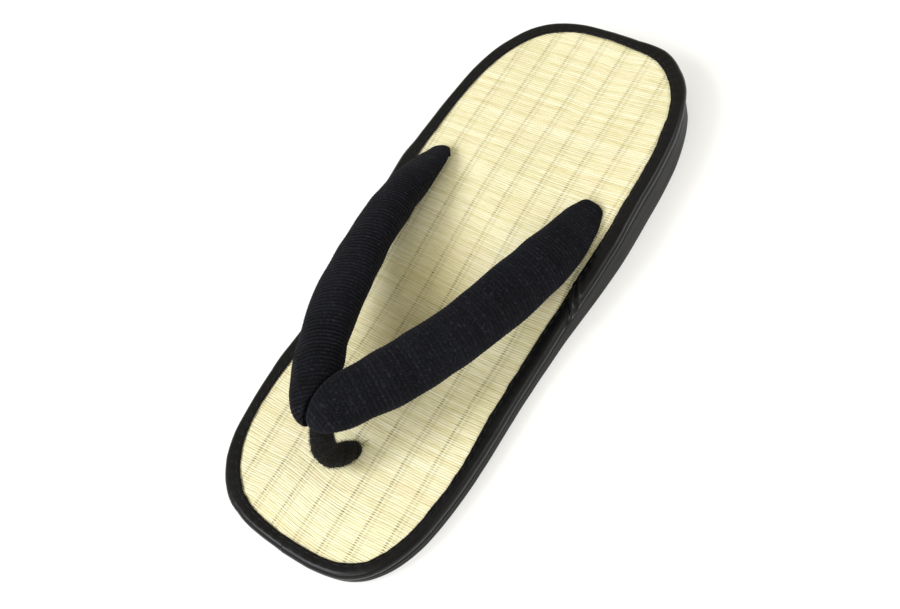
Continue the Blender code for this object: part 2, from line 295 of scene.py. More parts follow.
# %% [markdown]
# Meshes from grids
# Almost every piece here is a grid of points: rows along it and columns round or across it. NumPy
# works out all the points at once, and one helper joins them into quads. Faces have to point
# outwards, so a closed shape's volume is measured: where it comes out negative, its faces are
# turned round.

# %% Grids and tubes


def grid_faces(rows, columns, wrap_columns=False, wrap_rows=False):
    """Quads over a grid of points, and back to the first column or row where it wraps."""
    row = np.arange(rows if wrap_rows else rows - 1)
    column = np.arange(columns if wrap_columns else columns - 1)
    row, column = np.meshgrid(row, column, indexing="ij")
    here = row * columns
    there = (row + 1) % rows * columns
    after = (column + 1) % columns
    corners = [here + column, here + after, there + after, there + column]
    return np.stack([corner.ravel() for corner in corners], axis=1)


def tube_faces(rings, sides, first=0):
    """Faces of a tube of rings of points, from a first point on, with a flat face at each end."""
    faces = [tuple(face) for face in first + grid_faces(rings, sides, wrap_columns=True)]
    end = first + np.arange(sides)
    faces.append(tuple(end)[::-1])
    faces.append(tuple(end + (rings - 1) * sides))
    return faces


def closed_grid(points, rows, columns, floor):
    """Faces of a grid of points with walls down to a floor, and the points with the floor's added."""
    count = rows * columns
    border = np.concatenate([
        np.arange(columns),
        np.arange(1, rows) * columns + columns - 1,
        (rows - 1) * columns + np.arange(columns - 2, -1, -1),
        np.arange(rows - 2, 0, -1) * columns,
    ])
    skirt = points[border].copy()
    skirt[:, 2] = floor(skirt[:, 1])
    here = np.arange(len(border))
    after = (here + 1) % len(border)
    walls = np.stack([border[after], border[here], count + here, count + after], axis=1)
    faces = [tuple(face) for face in np.concatenate([grid_faces(rows, columns), walls])]
    # The flat floor: a strip from side to side for each row, and one longer face at each end
    right = columns - 1 + np.arange(rows)
    left = (len(border) - np.arange(rows)) % len(border)
    strips = [(left[row], right[row], right[row + 1], left[row + 1]) for row in range(1, rows - 2)]
    strips.append(tuple(range(columns + 1)) + (left[1],))
    strips.append(tuple(range(right[rows - 2], left[rows - 2] + 1)))
    faces += [tuple(count + corner for corner in strip)[::-1] for strip in strips]
    return np.concatenate([points, skirt]), faces


# %% Faces outwards


def turned_outward(points, faces):
    """The faces, turned round where the closed shape that they make would face inward."""
    points = np.asarray(points)
    faces = np.asarray(faces)
    first = points[faces[:, 0]]
    second = points[faces[:, 1]]
    third = points[faces[:, 2]]
    fourth = points[faces[:, 3]]
    volume = np.einsum("ij,ij->i", first, np.cross(second, third)).sum()
    volume += np.einsum("ij,ij->i", first, np.cross(third, fourth)).sum()
    return faces if volume > 0.0 else faces[:, ::-1]


def turned_all(points, faces):
    """Faces of a closed shape of any corners, turned outward."""
    points = np.asarray(points)
    volume = 0.0
    for face in faces:
        for second, third in zip(face[1:], face[2:]):
            volume += points[face[0]].dot(np.cross(points[second], points[third]))
    return faces if volume > 0.0 else [tuple(face)[::-1] for face in faces]


# %% Pieces that ride on the object


def plain_object(name, points, faces):
    mesh = bpy.data.meshes.new(name)
    mesh.from_pydata(np.asarray(points).tolist(), [], [list(map(int, face)) for face in faces])
    made = bpy.data.objects.new(name, mesh)
    bpy.context.scene.collection.objects.link(made)
    return made


def mounted(piece):
    """Puts a finished piece on the object's one body, and prints its name and number of faces."""
    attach(piece, "root")
    print(piece.name, len(piece.data.polygons), "faces")
    return piece


def mesh_piece(name, points, faces, material, attributes=None):
    """A shown piece. attributes are numbers at its points, for its material to read."""
    piece = plain_object(name, points, faces)
    for key, values in (attributes or {}).items():
        layer = piece.data.attributes.new(key, "FLOAT", "POINT")
        layer.data.foreach_set("value", np.asarray(values, np.float32).ravel())
    piece.data.validate()
    piece.data.shade_smooth()
    piece.data.materials.append(material)
    return mounted(piece)


# %% [markdown]
# Materials from nodes
# A finish that repeats, such as a weave, is best drawn by maths on coordinates: it never blurs
# and has no seams. A small class keeps the scripts short. Each method adds one node and gives
# back its output, so the nodes read like a sum. Places are Object coordinates in metres, or
# numbers that the mesh keeps at its points.

# %% Node helpers
SOCKETS = {
    "roughness": "Roughness",
    "specular": "Specular IOR Level",
    "sheen": "Sheen Weight",
    "sheen_roughness": "Sheen Roughness",
    "sheen_tint": "Sheen Tint",
    "glow": "Emission Color",
    "glow_strength": "Emission Strength",
}


class Nodes:
    """Makes shader nodes in a material and joins them."""

    def __init__(self, name):
        self.material = bpy.data.materials.new(name)
        self.material.use_nodes = True
        self.tree = self.material.node_tree
        self.shader = self.tree.nodes["Principled BSDF"]

    def add(self, kind, **settings):
        made = self.tree.nodes.new(kind)
        for key, value in settings.items():
            setattr(made, key, value)
        return made

    def link(self, source, target):
        if isinstance(source, (int, float, tuple)):
            target.default_value = source
        else:
            self.tree.links.new(source, target)

    def finish(self, colour, normal=None, **settings):
        """Joins the colour and the normal to the shader and sets its other sockets."""
        self.link(colour, self.shader.inputs["Base Color"])
        if normal is not None:
            self.link(normal, self.shader.inputs["Normal"])
        for key, value in settings.items():
            self.link(value, self.shader.inputs[SOCKETS[key]])
        return self.material

    def math(self, operation, first, second=0.0):
        made = self.add("ShaderNodeMath", operation=operation)
        self.link(first, made.inputs[0])
        self.link(second, made.inputs[1])
        return made.outputs[0]

    def times(self, first, second):
        return self.math("MULTIPLY", first, second)

    def plus(self, first, second):
        return self.math("ADD", first, second)

    def minus(self, first, second):
        return self.math("SUBTRACT", first, second)

    def size(self, value):
        return self.math("ABSOLUTE", value)

    def from_middle(self, value):
        """How far a repeating number is from the middle of its cell, 0 to a half."""
        return self.size(self.minus(self.math("FRACT", value), 0.5))

    def scaled(self, value, low, high, to_low=0.0, to_high=1.0, kind="LINEAR"):
        made = self.add("ShaderNodeMapRange", interpolation_type=kind)
        self.link(value, made.inputs["Value"])
        made.inputs["From Min"].default_value = low
        made.inputs["From Max"].default_value = high
        made.inputs["To Min"].default_value = to_low
        made.inputs["To Max"].default_value = to_high
        return made.outputs["Result"]

    def eased(self, value, low, high, to_low=0.0, to_high=1.0):
        return self.scaled(value, low, high, to_low, to_high, "SMOOTHSTEP")

    def attribute(self, name):
        return self.add("ShaderNodeAttribute", attribute_name=name).outputs["Fac"]

    def place(self, scale=1.0):
        """Object coordinates in metres, times one scale or a scale along each axis."""
        coordinates = self.add("ShaderNodeTexCoord").outputs["Object"]
        mapping = self.add("ShaderNodeMapping")
        scale = scale if isinstance(scale, tuple) else (scale, scale, scale)
        mapping.inputs["Scale"].default_value = scale
        self.link(coordinates, mapping.inputs["Vector"])
        return mapping.outputs["Vector"]

    def axis(self, name):
        """One of the object coordinates in metres, as a number."""
        made = self.add("ShaderNodeSeparateXYZ")
        self.link(self.place(), made.inputs[0])
        return made.outputs[name]

    def joined(self, x, y):
        made = self.add("ShaderNodeCombineXYZ")
        self.link(x, made.inputs["X"])
        self.link(y, made.inputs["Y"])
        return made.outputs[0]

    def noise(self, vector, detail=2.0, roughness=0.5):
        made = self.add("ShaderNodeTexNoise")
        self.link(vector, made.inputs["Vector"])
        made.inputs["Scale"].default_value = 1.0
        made.inputs["Detail"].default_value = detail
        made.inputs["Roughness"].default_value = roughness
        return made.outputs["Fac"]

    def random(self, vector):
        made = self.add("ShaderNodeTexWhiteNoise", noise_dimensions="2D")
        self.link(vector, made.inputs["Vector"])
        return made.outputs["Value"]

    def colours(self, value, *stops):
        """A colour ramp with (place, red, green, blue) stops."""
        ramp = self.add("ShaderNodeValToRGB")
        elements = ramp.color_ramp.elements
        for index, (place, *colour) in enumerate(stops):
            element = elements[index] if index < 2 else elements.new(place)
            element.position = place
            element.color = (*colour, 1.0)
        self.link(value, ramp.inputs["Fac"])
        return ramp.outputs["Color"]

    def tinted(self, colour, share, tint):
        """A colour with a share of another laid over it."""
        made = self.add("ShaderNodeMix", data_type="RGBA", blend_type="MIX")
        self.link(share, made.inputs["Factor"])
        self.link(colour, made.inputs["A"])
        self.link((*tint, 1.0), made.inputs["B"])
        return made.outputs["Result"]

    def bump(self, height, distance, strength=1.0, after=None):
        made = self.add("ShaderNodeBump")
        made.inputs["Strength"].default_value = strength
        made.inputs["Distance"].default_value = distance
        self.link(height, made.inputs["Height"])
        if after is not None:
            self.link(after, made.inputs["Normal"])
        return made.outputs["Normal"]


# %% [markdown]
# Sole
# The sole is a wedge of black foam rubber, cut with a knife, so its side is plain and its edges
# are barely rounded. A step round its top takes the folded tape. It is built as a stack of rings
# that follow the outline: each row of a table says how far in a ring lies and at what height. A
# Bevel modifier could round a plain wedge too, but the rings keep the step's exact depth.

# %% Black foam rubber


def sole_material():
    """Fine skin, faint mould lines round the side, scuffs, and painted shade in the step under the
    tape.
    """
    n = Nodes("sole rubber")
    fine = n.noise(n.place(1500.0), 2.0)
    cloud = n.noise(n.place((45.0, 45.0, 120.0)), 4.0)
    scuff = n.noise(n.place((30.0, 30.0, 900.0)), 3.0, 0.6)
    colour = n.colours(cloud, (0.25, 0.0090, 0.0088, 0.0094), (0.78, 0.0210, 0.0205, 0.0215))
    colour = n.tinted(colour, n.eased(scuff, 0.60, 0.78, 0.0, 0.30), (0.055, 0.054, 0.056))
    # Painted shade: the top of the side and the step under the tape are darkened almost to black
    step = n.eased(n.attribute("up"), 0.78, 0.97, 0.0, 0.92)
    colour = n.tinted(colour, step, (0.0008, 0.0008, 0.0009))
    normal = n.bump(fine, 0.00006, 0.6, n.bump(cloud, 0.0005, 0.4))
    return n.finish(colour, normal, roughness=n.scaled(scuff, 0.3, 0.8, 0.46, 0.64), specular=0.13)


RUBBER = sole_material()

# %% Rings of the sole's side
SOLE_STATIONS = 480
TREAD_MARGIN = 0.0050
TREAD_RECESS = 0.0010


def side_rings(tape_seat):
    """Rows of how far out a ring lies, what its height is counted from, and that height or share."""
    seat = tape_seat + TAPE_THICKNESS + CLEARANCE
    step = -TAPE_UNDER_REACH - CLEARANCE
    rows = [(-TREAD_MARGIN - 0.0003, "under", TREAD_RECESS), (-TREAD_MARGIN, "under", 0.0)]
    for share in (0.0, 0.29, 0.62, 1.0):
        turn = 0.5 * math.pi * share
        inset = SOLE_INSET + SOLE_BEVEL * (1.0 - math.sin(turn))
        rows.append((-inset, "under", SOLE_BEVEL * (1.0 - math.cos(turn))))
    for share in (0.25, 0.50, 0.75, 0.88):
        rows.append((-SOLE_INSET, "middle", share))
    for share in (1.0, 0.62, 0.29, 0.0):
        turn = 0.5 * math.pi * share
        inset = SOLE_INSET + 0.5 * SOLE_BEVEL * (1.0 - math.sin(turn))
        rows.append((-inset, "over", tape_seat - 0.5 * SOLE_BEVEL * (1.0 - math.cos(turn))))
    return rows + [(step, "over", tape_seat), (step, "over", seat)]


def build_sole():
    plan, outward, _ = rim(SOLE_STATIONS)
    tape_seat = -MAT_THICKNESS - TAPE_THICKNESS - 2.0 * CLEARANCE
    rings = []
    ups = []
    for out, kind, value in side_rings(tape_seat):
        ups.append({"under": 0.0, "middle": value, "over": 1.0}[kind])
        ring = plan + outward * out
        under = sole_underside(ring[:, 1])
        over = mat_top(ring[:, 1])
        low = under + SOLE_BEVEL
        high = over + tape_seat - 0.5 * SOLE_BEVEL
        levels = {
            "under": under + value,
            "middle": low + (high - low) * value,
            "over": over + value,
        }
        rings.append(np.column_stack([ring, levels[kind]]))
    points = nudged(np.concatenate(rings))
    count = SOLE_STATIONS
    faces = [tuple(face) for face in grid_faces(len(rings), count, wrap_columns=True)]
    top = (len(rings) - 1) * count
    for station in range(count // 2):
        other = count - station
        strip = list(dict.fromkeys((station, station + 1, other - 1, other % count)))
        faces.append(tuple(strip)[::-1])
        faces.append(tuple(top + corner for corner in strip))
    piece = mesh_piece("sole_rubber", points, faces, RUBBER, {"up": np.repeat(ups, count)})
    piece.data.set_sharp_from_angle(angle=math.radians(40.0))
    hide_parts("sole")


build_sole()

# %% [markdown]
# Tread
# The underside is moulded with low ribs across it, inside a plain margin, and each rib runs in a
# gentle wave. They are real relief, because a low light would show up a painted rib. One grid
# covers the whole underside. A sine moves the ribs along, and a smooth step of the distance
# within each rib cuts the grooves.

# %% Wavy ribs
TREAD_PITCH = 0.0042
TREAD_WAVE = 0.0170
TREAD_SWING = 0.0016
TREAD_DEPTH = 0.0008
TREAD_COLUMNS = 60


def build_tread():
    """Low wavy ribs across the sole's underside, flush with its rim."""
    inset = TREAD_MARGIN + 0.0010
    reach = HALF_LENGTH - inset - 0.0006
    ys = np.arange(-reach, reach, TREAD_PITCH / 10.0)
    y, s = np.meshgrid(ys, np.linspace(1.0, -1.0, TREAD_COLUMNS), indexing="ij")
    big = half_width(ys, inset, BIG_TOE_SQUARENESS)[:, None]
    little = half_width(ys, inset, LITTLE_TOE_SQUARENESS)[:, None]
    x = s * np.where(s > 0.0, big, little)
    wave = TREAD_SWING * np.sin(x * 2.0 * math.pi / TREAD_WAVE)
    within = np.abs((y + wave) / TREAD_PITCH % 1.0 - 0.5) * 2.0
    groove = smoothstep((within - 0.58) / 0.22)
    edge = smoothstep(np.minimum((1.0 - np.abs(s)) * big, reach - np.abs(y)) / 0.0015)
    depth = TREAD_DEPTH * np.maximum(groove, 1.0 - edge)
    # Built upside down, so its ribs face the floor
    points = np.stack([-x, y, -(sole_underside(y) + depth)], axis=-1).reshape(-1, 3)

    def lid(rows):
        return -(sole_underside(rows) + TREAD_RECESS + 0.0004)

    points, faces = closed_grid(points, len(ys), TREAD_COLUMNS, lid)
    points = nudged(points * np.array([-1.0, 1.0, -1.0]))
    mesh_piece("sole_tread", points, faces, RUBBER, {"up": np.zeros(len(points))})


build_tread()

# %% [markdown]
# Rush mat
# The mat is woven: thin rushes lie side by side across the sole, a millimetre apart, and pairs of
# warp threads run lengthways and pinch them together. Two numbers say where a point is in that
# weave: which rush it lies on, and which field between two warp pairs. Both wander a little. The
# relief and the colours read the same two numbers, so each dark nick of painted shade lies exactly
# where a thread pulls the rushes down.

# %% Where a point is in the weave
RUSH_PITCH = 0.00100
WARP_PITCH = 0.01145
WARP_START = -0.0331
WARP_TURN = 0.0152
WARP_PAIR = 0.0021
RUSH_LEAN = (-3.5, -0.5)
RUSH_BOW = 0.0016


def rush_place(x, y):
    """Which rush a point is on, counted along the sole: the rushes lean a little and wander."""
    lean = RUSH_LEAN[0] + (RUSH_LEAN[1] - RUSH_LEAN[0]) * smoothstep((y - 0.020) / 0.060)
    bow = RUSH_BOW * np.clip((x - 0.010) / 0.035, 0.0, 1.0) ** 2
    wander = 0.00022 * noise(y, 5, 0.021) + 0.00005 * noise(x + 1.7 * y, 6, 0.017)
    uneven = 0.00009 * np.sin(y / 0.00043 + 3.0 * noise(y, 7, 0.009))
    return (y - x * np.tan(np.radians(lean)) - bow + wander + uneven) / RUSH_PITCH + 400.0


def warp_place(x, y):
    """Which field between warp pairs a point is in: 0 at the middle of a pair."""
    wander = 0.00025 * noise(y, 8, 0.03)
    return (x + WARP_TURN * y + 0.00024 + wander - WARP_START) / WARP_PITCH + 8.0


def warp_pinch(x, y):
    """How near a point is to a warp thread, 0 to 1. Two threads lie side by side in each pair."""
    off = (warp_place(x, y) + 0.5) % 1.0 - 0.5
    off = np.abs(np.abs(off) * WARP_PITCH - 0.5 * WARP_PAIR)
    return np.clip(1.0 - off / 0.00062, 0.0, 1.0)


WEAVE_PLACES = {"rush": rush_place, "warp": warp_place}
print("rushes from toe to heel:", round(SOLE_LENGTH / RUSH_PITCH))

# %% Straw


def straw_colour(n, rush, warp, fibre):
    """Each rush has a tint that drifts along it, and patches of the mat are greener or browner."""
    index = n.math("FLOOR", rush)
    tint = n.random(n.joined(index, 0.0))
    stretch = n.noise(n.joined(n.times(warp, 1.3), n.times(index, 7.31)))
    band = n.noise(n.place((44.0, 150.0, 44.0)), 3.0)
    cloud = n.noise(n.place((30.0, 24.0, 30.0)), 3.0)
    straw = n.colours(
        n.plus(n.times(tint, 0.38), n.times(stretch, 0.62)),
        (0.00, 0.530, 0.460, 0.215),
        (0.30, 0.700, 0.640, 0.385),
        (0.60, 0.790, 0.745, 0.520),
        (1.00, 0.850, 0.815, 0.650),
    )
    straw = n.tinted(straw, n.eased(band, 0.54, 0.70, 0.0, 0.26), (0.74, 0.62, 0.44))
    straw = n.tinted(straw, n.eased(band, 0.46, 0.30, 0.0, 0.26), (0.62, 0.62, 0.34))
    straw = n.tinted(straw, n.eased(cloud, 0.50, 0.68, 0.0, 0.22), (0.62, 0.58, 0.33))
    straw = n.tinted(straw, n.scaled(fibre, 0.35, 0.75, 0.0, 0.20), (0.52, 0.46, 0.27))
    # Between the strap's arms the rush is browner: partly soil, partly painted shade of the arms
    soil_and_shade_x = n.math("POWER", n.times(n.plus(n.axis("X"), 0.010), 1.0 / 0.026), 2.0)
    soil_and_shade_y = n.math("POWER", n.times(n.plus(n.axis("Y"), 0.022), 1.0 / 0.052), 2.0)
    soil_and_strap_shade = n.eased(n.plus(soil_and_shade_x, soil_and_shade_y), 0.05, 1.1, 0.35, 0.0)
    return n.tinted(straw, soil_and_strap_shade, (0.50, 0.41, 0.15))


def gap_depth(n, rush, warp, front):
    """Painted shade in the gap beside a rush: it differs from gap to gap, and fades to the heel."""
    shown = n.noise(n.joined(n.times(warp, 0.9), n.times(n.math("ROUND", rush), 5.17)))
    worn_and_shaded = n.scaled(n.noise(n.place((24.0, 18.0, 24.0))), 0.35, 0.65, 0.45, 1.0)
    worn_and_shaded = n.times(worn_and_shaded, n.scaled(front, 0.0, 1.0, 0.60, 1.0))
    return n.times(n.eased(shown, 0.36, 0.62, 0.16, 1.0), worn_and_shaded)


def nick_strength(n, rush, warp, front, signed):
    """Painted shade at the nick of a warp thread. The second thread of each pair is fainter."""
    place = n.joined(n.math("FLOOR", rush), n.math("ROUND", n.times(warp, 5.0)))
    strength = n.math("POWER", n.random(place), 0.5)
    patch = n.noise(n.joined(n.times(warp, 1.9), n.times(rush, 0.16)))
    strength = n.times(strength, n.eased(patch, 0.34, 0.58, 0.40, 1.0))
    second = n.scaled(signed, -0.0003, 0.0003, 1.0, 0.16)
    return n.times(strength, n.times(second, n.scaled(front, 0.0, 1.0, 0.72, 1.0)))


def rush_material():
    """Straw, with painted shade in the gaps between rushes and darker at the warp threads' nicks."""
    n = Nodes("rush")
    rush = n.attribute("rush")
    warp = n.attribute("warp")
    fibre = n.noise(n.joined(n.times(warp, 2.0), n.times(rush, 9.0)))
    straw = straw_colour(n, rush, warp, fibre)
    # The weave is looser under the ball of the foot; the painted shade in its gaps and nicks is
    # stronger there and fainter towards the heel
    front = n.eased(n.axis("Y"), -0.030, 0.075, 1.0, 0.0)
    beside = n.from_middle(rush)
    gap = n.eased(beside, 0.35, 0.48)
    # Painted shade: the gaps between the rushes are darkened
    straw = n.tinted(straw, n.times(gap, gap_depth(n, rush, warp, front)), (0.19, 0.155, 0.066))
    signed = n.times(n.minus(n.math("FRACT", n.plus(warp, 0.5)), 0.5), WARP_PITCH)
    off = n.size(n.minus(n.size(signed), 0.5 * WARP_PAIR))
    # Painted shade: dark nicks in the gaps where the warp threads pull the rushes down
    nick = n.times(n.eased(off, 0.00030, 0.00085, 1.0, 0.0), n.eased(beside, 0.20, 0.42))
    dark = n.times(nick, nick_strength(n, rush, warp, front, signed))
    straw = n.tinted(straw, dark, (0.020, 0.016, 0.008))
    # Painted shade: a wide, soft darker band in the trough along each warp pair
    straw = n.tinted(straw, n.eased(off, 0.0, 0.0014, 0.20, 0.0), (0.44, 0.40, 0.22))
    height = n.plus(n.times(fibre, 0.5), n.times(n.plus(gap, nick), -1.0))
    return n.finish(straw, n.bump(height, 0.00008, 0.8), roughness=0.56, specular=0.30)


RUSH = rush_material()

# %% Relief of the rushes
MAT_COLUMNS = 84
RUSH_HEIGHT = 0.00026
RUSH_UNEVEN = 0.00010
WARP_DENT = 0.00016


def rush_lift(x, y):
    """How far a point stands off the plain mat: low arches that the warp threads press down."""
    rush = rush_place(x, y)
    warp = warp_place(x, y)
    within = (rush % 1.0 - 0.5) * 2.0
    index = np.floor(rush).astype(int)
    dice = np.random.default_rng(11).uniform(0.0, 1.0, 2000)
    height = RUSH_HEIGHT + RUSH_UNEVEN * (dice[index % 2000] - 0.5)
    lift = height * (np.sqrt(np.clip(1.0 - 0.88 * within**2, 0.0, 1.0)) - 1.0)
    over = np.where((index + np.floor(warp).astype(int)) % 2 == 0, 1.0, -1.0)
    lift = lift - WARP_DENT * smoothstep(warp_pinch(x, y))
    lift = lift + 0.00004 * over * np.cos(warp * 2.0 * math.pi)
    return lift + 0.00018 * noise(x + y * 0.3, 21, 0.012) * noise(y, 22, 0.02)


def mat_underside(y):
    return mat_top(y) - MAT_THICKNESS


def build_mat():
    reach = HALF_LENGTH - TAPE_ROLL
    ys = np.arange(-reach, reach, RUSH_PITCH * 0.25)
    big = half_width(ys, TAPE_ROLL * 0.9, BIG_TOE_SQUARENESS)[:, None]
    little = half_width(ys, TAPE_ROLL * 0.9, LITTLE_TOE_SQUARENESS)[:, None]
    y, s = np.meshgrid(ys, np.linspace(-1.0, 1.0, MAT_COLUMNS), indexing="ij")
    widths = np.where(s > 0.0, big, little)
    x = s * widths
    edge = np.minimum((1.0 - np.abs(s)) * widths, reach - np.abs(y))
    z = mat_top(y) + rush_lift(x, y) - 0.0004 * (1.0 - smoothstep(edge / 0.004))
    points = np.stack([x, y, z], axis=-1).reshape(-1, 3)
    points, faces = closed_grid(points, len(ys), MAT_COLUMNS, mat_underside)
    values = {name: place(points[:, 0], points[:, 1]) for name, place in WEAVE_PLACES.items()}
    piece = mesh_piece("rush_mat", nudged(points), faces, RUSH, values)
    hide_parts("tatami_mat")


build_mat()

# %% [markdown]
# Tape
# A ribbed tape is folded round the mat's edge: 5 mm on top, a tight roll, and the rest glued
# under the mat. Beside each end of the strap it laps over itself, which leaves a slanting step. A
# Curve with a profile could carry the section round the rim, but a grid lets the lap, the puckers
# and the uneven edge be added point by point.

# %% Black woven tape


def tape_material():
    """Black woven tape: fine ribs across it, a soft sheen, and slightly uneven dye."""
    n = Nodes("tape")
    rib = n.math("SINE", n.times(n.attribute("along"), 2.0 * math.pi / 0.00055))
    weave = n.math("SINE", n.times(n.attribute("across"), 2.0 * math.pi / 0.00045))
    cloud = n.noise(n.place(90.0), 3.0)
    lint = n.noise(n.place(900.0))
    colour = n.colours(cloud, (0.25, 0.0016, 0.0016, 0.0020), (0.75, 0.0045, 0.0045, 0.0054))
    colour = n.tinted(colour, n.eased(lint, 0.68, 0.82, 0.0, 0.30), (0.05, 0.05, 0.052))
    ribs = n.plus(n.times(rib, 0.6), n.times(weave, 0.4))
    return n.finish(
        colour,
        n.bump(ribs, 0.000012, 0.7, n.bump(cloud, 0.0004, 0.4)),
        roughness=n.scaled(cloud, 0.2, 0.8, 0.26, 0.38),
        specular=0.20,
        sheen=0.01,
        sheen_roughness=0.4,
    )


TAPE = tape_material()

# %% Section through the fold
TAPE_STATIONS = 2000
TAPE_ROUND = 10
TAPE_EDGE_SINK = 0.00032
# Rows of the section that the inner face keeps, counted from the tape's edge under the mat
INNER_ROWS = (0, 3, 6, 9, 12, 15, 18, 21, -2, -1)


def tape_section(inset, top_reach, under_reach):
    """Section through the tape: outward, up, the way that it faces and the length along it."""
    radius = TAPE_ROLL - inset
    top = TAPE_THICKNESS + CLEARANCE - inset
    bottom = -MAT_THICKNESS - CLEARANCE - TAPE_THICKNESS + inset
    rows = []
    for step in range(6):
        reach = top_reach + (TAPE_ROLL - top_reach) * step / 6.0
        rows.append((-reach, top, 90.0))
    for centre, start in ((top - radius, 90.0), (bottom + radius, 0.0)):
        for step in range(TAPE_ROUND + 1):
            angle = start - 90.0 * step / TAPE_ROUND
            turn = math.radians(angle)
            out = radius * math.cos(turn) - TAPE_ROLL
            rows.append((out, centre + radius * math.sin(turn), angle))
    rows.append((-under_reach, bottom, -90.0))
    rows = np.array(rows)
    steps = np.hypot(np.diff(rows[:, 0]), np.diff(rows[:, 1]))
    return np.column_stack([rows, np.concatenate([[0.0], np.cumsum(steps)])])


# %% The laps beside the strap's ends


def lap_front(way):
    """Where the lap's slanting front edge crosses, for a length over the tape."""
    share = np.clip(way / 0.0100, 0.0, 1.0)
    return 0.0084 - 0.0199 * share**0.8


def lap_height(y, way):
    """The doubled tape, cut at a slant in front and fading behind, for a length over the tape."""
    return smoothstep((y - lap_front(way)) / 0.0012) * smoothstep((0.0500 - y) / 0.0120)


def lap_hem(y, way):
    """A rolled hem along the lap's front edge, and a second, softer fold behind it."""
    past = y - lap_front(way)
    hem = 0.00050 * np.exp(-(((past - 0.0015) / 0.0009) ** 2))
    fold = 0.00035 * np.exp(-(((past - 0.0052 - 0.0015 * np.sin(way * 300.0)) / 0.0012) ** 2))
    return hem + fold


# %% The tape's two faces


def top_reach_extra(plan, out, facing):
    """How much further in the tape's inner edge runs, by hand, at each place round the rim."""
    if facing <= 45.0:
        return 0.0
    return by_hand(plan, 2) * np.clip((-out - TAPE_ROLL) / (TAPE_TOP_REACH - TAPE_ROLL), 0.0, 1.0)


def tape_lift(along, y, up, way):
    """How far the outer face stands out: the lap and its hems, puckers by the seam, and slack."""
    share = smoothstep((up + MAT_THICKNESS) / MAT_THICKNESS)
    swell = TAPE_LAP_SWELL * 0.75 * lap_height(y, way)
    edge = 1.0 - smoothstep(way / 0.0022)
    pucker = 0.00009 * np.cos(along * 2.0 * math.pi / 0.0046 + 2.2 * noise(along, 3, 0.03))
    pucker = pucker * (1.0 - smoothstep((way - 0.0005) / 0.0034))
    slack = 0.00016 * noise(along + 0.4 * way, 4, 0.012) * math.sin(math.pi * min(way / 0.009, 1.0))
    return swell * share + pucker + slack - TAPE_EDGE_SINK * edge + lap_hem(y, way) * share


def build_tape():
    plan, outward, along = rim(TAPE_STATIONS)
    grid = []
    ways = []
    for out, up, facing, way in tape_section(0.0, TAPE_TOP_REACH, TAPE_UNDER_REACH):
        turn = math.radians(facing)
        lift = tape_lift(along, plan[:, 1], up, way)
        reach = out - top_reach_extra(plan, out, facing)
        ring = plan + outward * (reach + lift * math.cos(turn))[:, None]
        if way < 1e-6:
            ring = ring + outward * (0.00025 * noise(along, 9, 0.006))[:, None]
        height = mat_top(ring[:, 1]) + up + lift * math.sin(turn)
        grid.append(np.column_stack([ring, height]))
        ways.append(np.full(len(plan), way))
    inner = tape_section(TAPE_THICKNESS, TAPE_TOP_REACH - 0.0002, TAPE_UNDER_REACH)[::-1]
    for out, up, facing, way in inner[list(INNER_ROWS)]:
        reach = np.full(len(plan), out) - top_reach_extra(plan, out, facing)
        ring = plan + outward * reach[:, None]
        sink = TAPE_EDGE_SINK if way < 0.002 else 0.0
        grid.append(np.column_stack([ring, mat_top(ring[:, 1]) + up - sink]))
        ways.append(np.full(len(plan), way))
    points = np.concatenate(grid)
    faces = grid_faces(len(grid), len(plan), wrap_columns=True, wrap_rows=True)
    faces = turned_outward(points, faces)
    values = {"along": np.tile(along, len(grid)), "across": np.concatenate(ways)}
    piece = mesh_piece("tape_binding", nudged(points), faces, TAPE, values)
    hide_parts("edge_binding")


build_tape()

# %% [markdown]
# Copies by Geometry Nodes
# Stitches, lint and pile repeat one small shape hundreds or thousands of times, which is what
# Geometry Nodes are for. Both trees below end in the same way: Instance on Points, then Realize
# Instances and Set Material. They differ in where the points come from. The inputs are named,
# each random choice has a fixed seed, and the result is kept as a plain mesh, so it is the same
# at each run.

# %% A node group that ends in one painted mesh


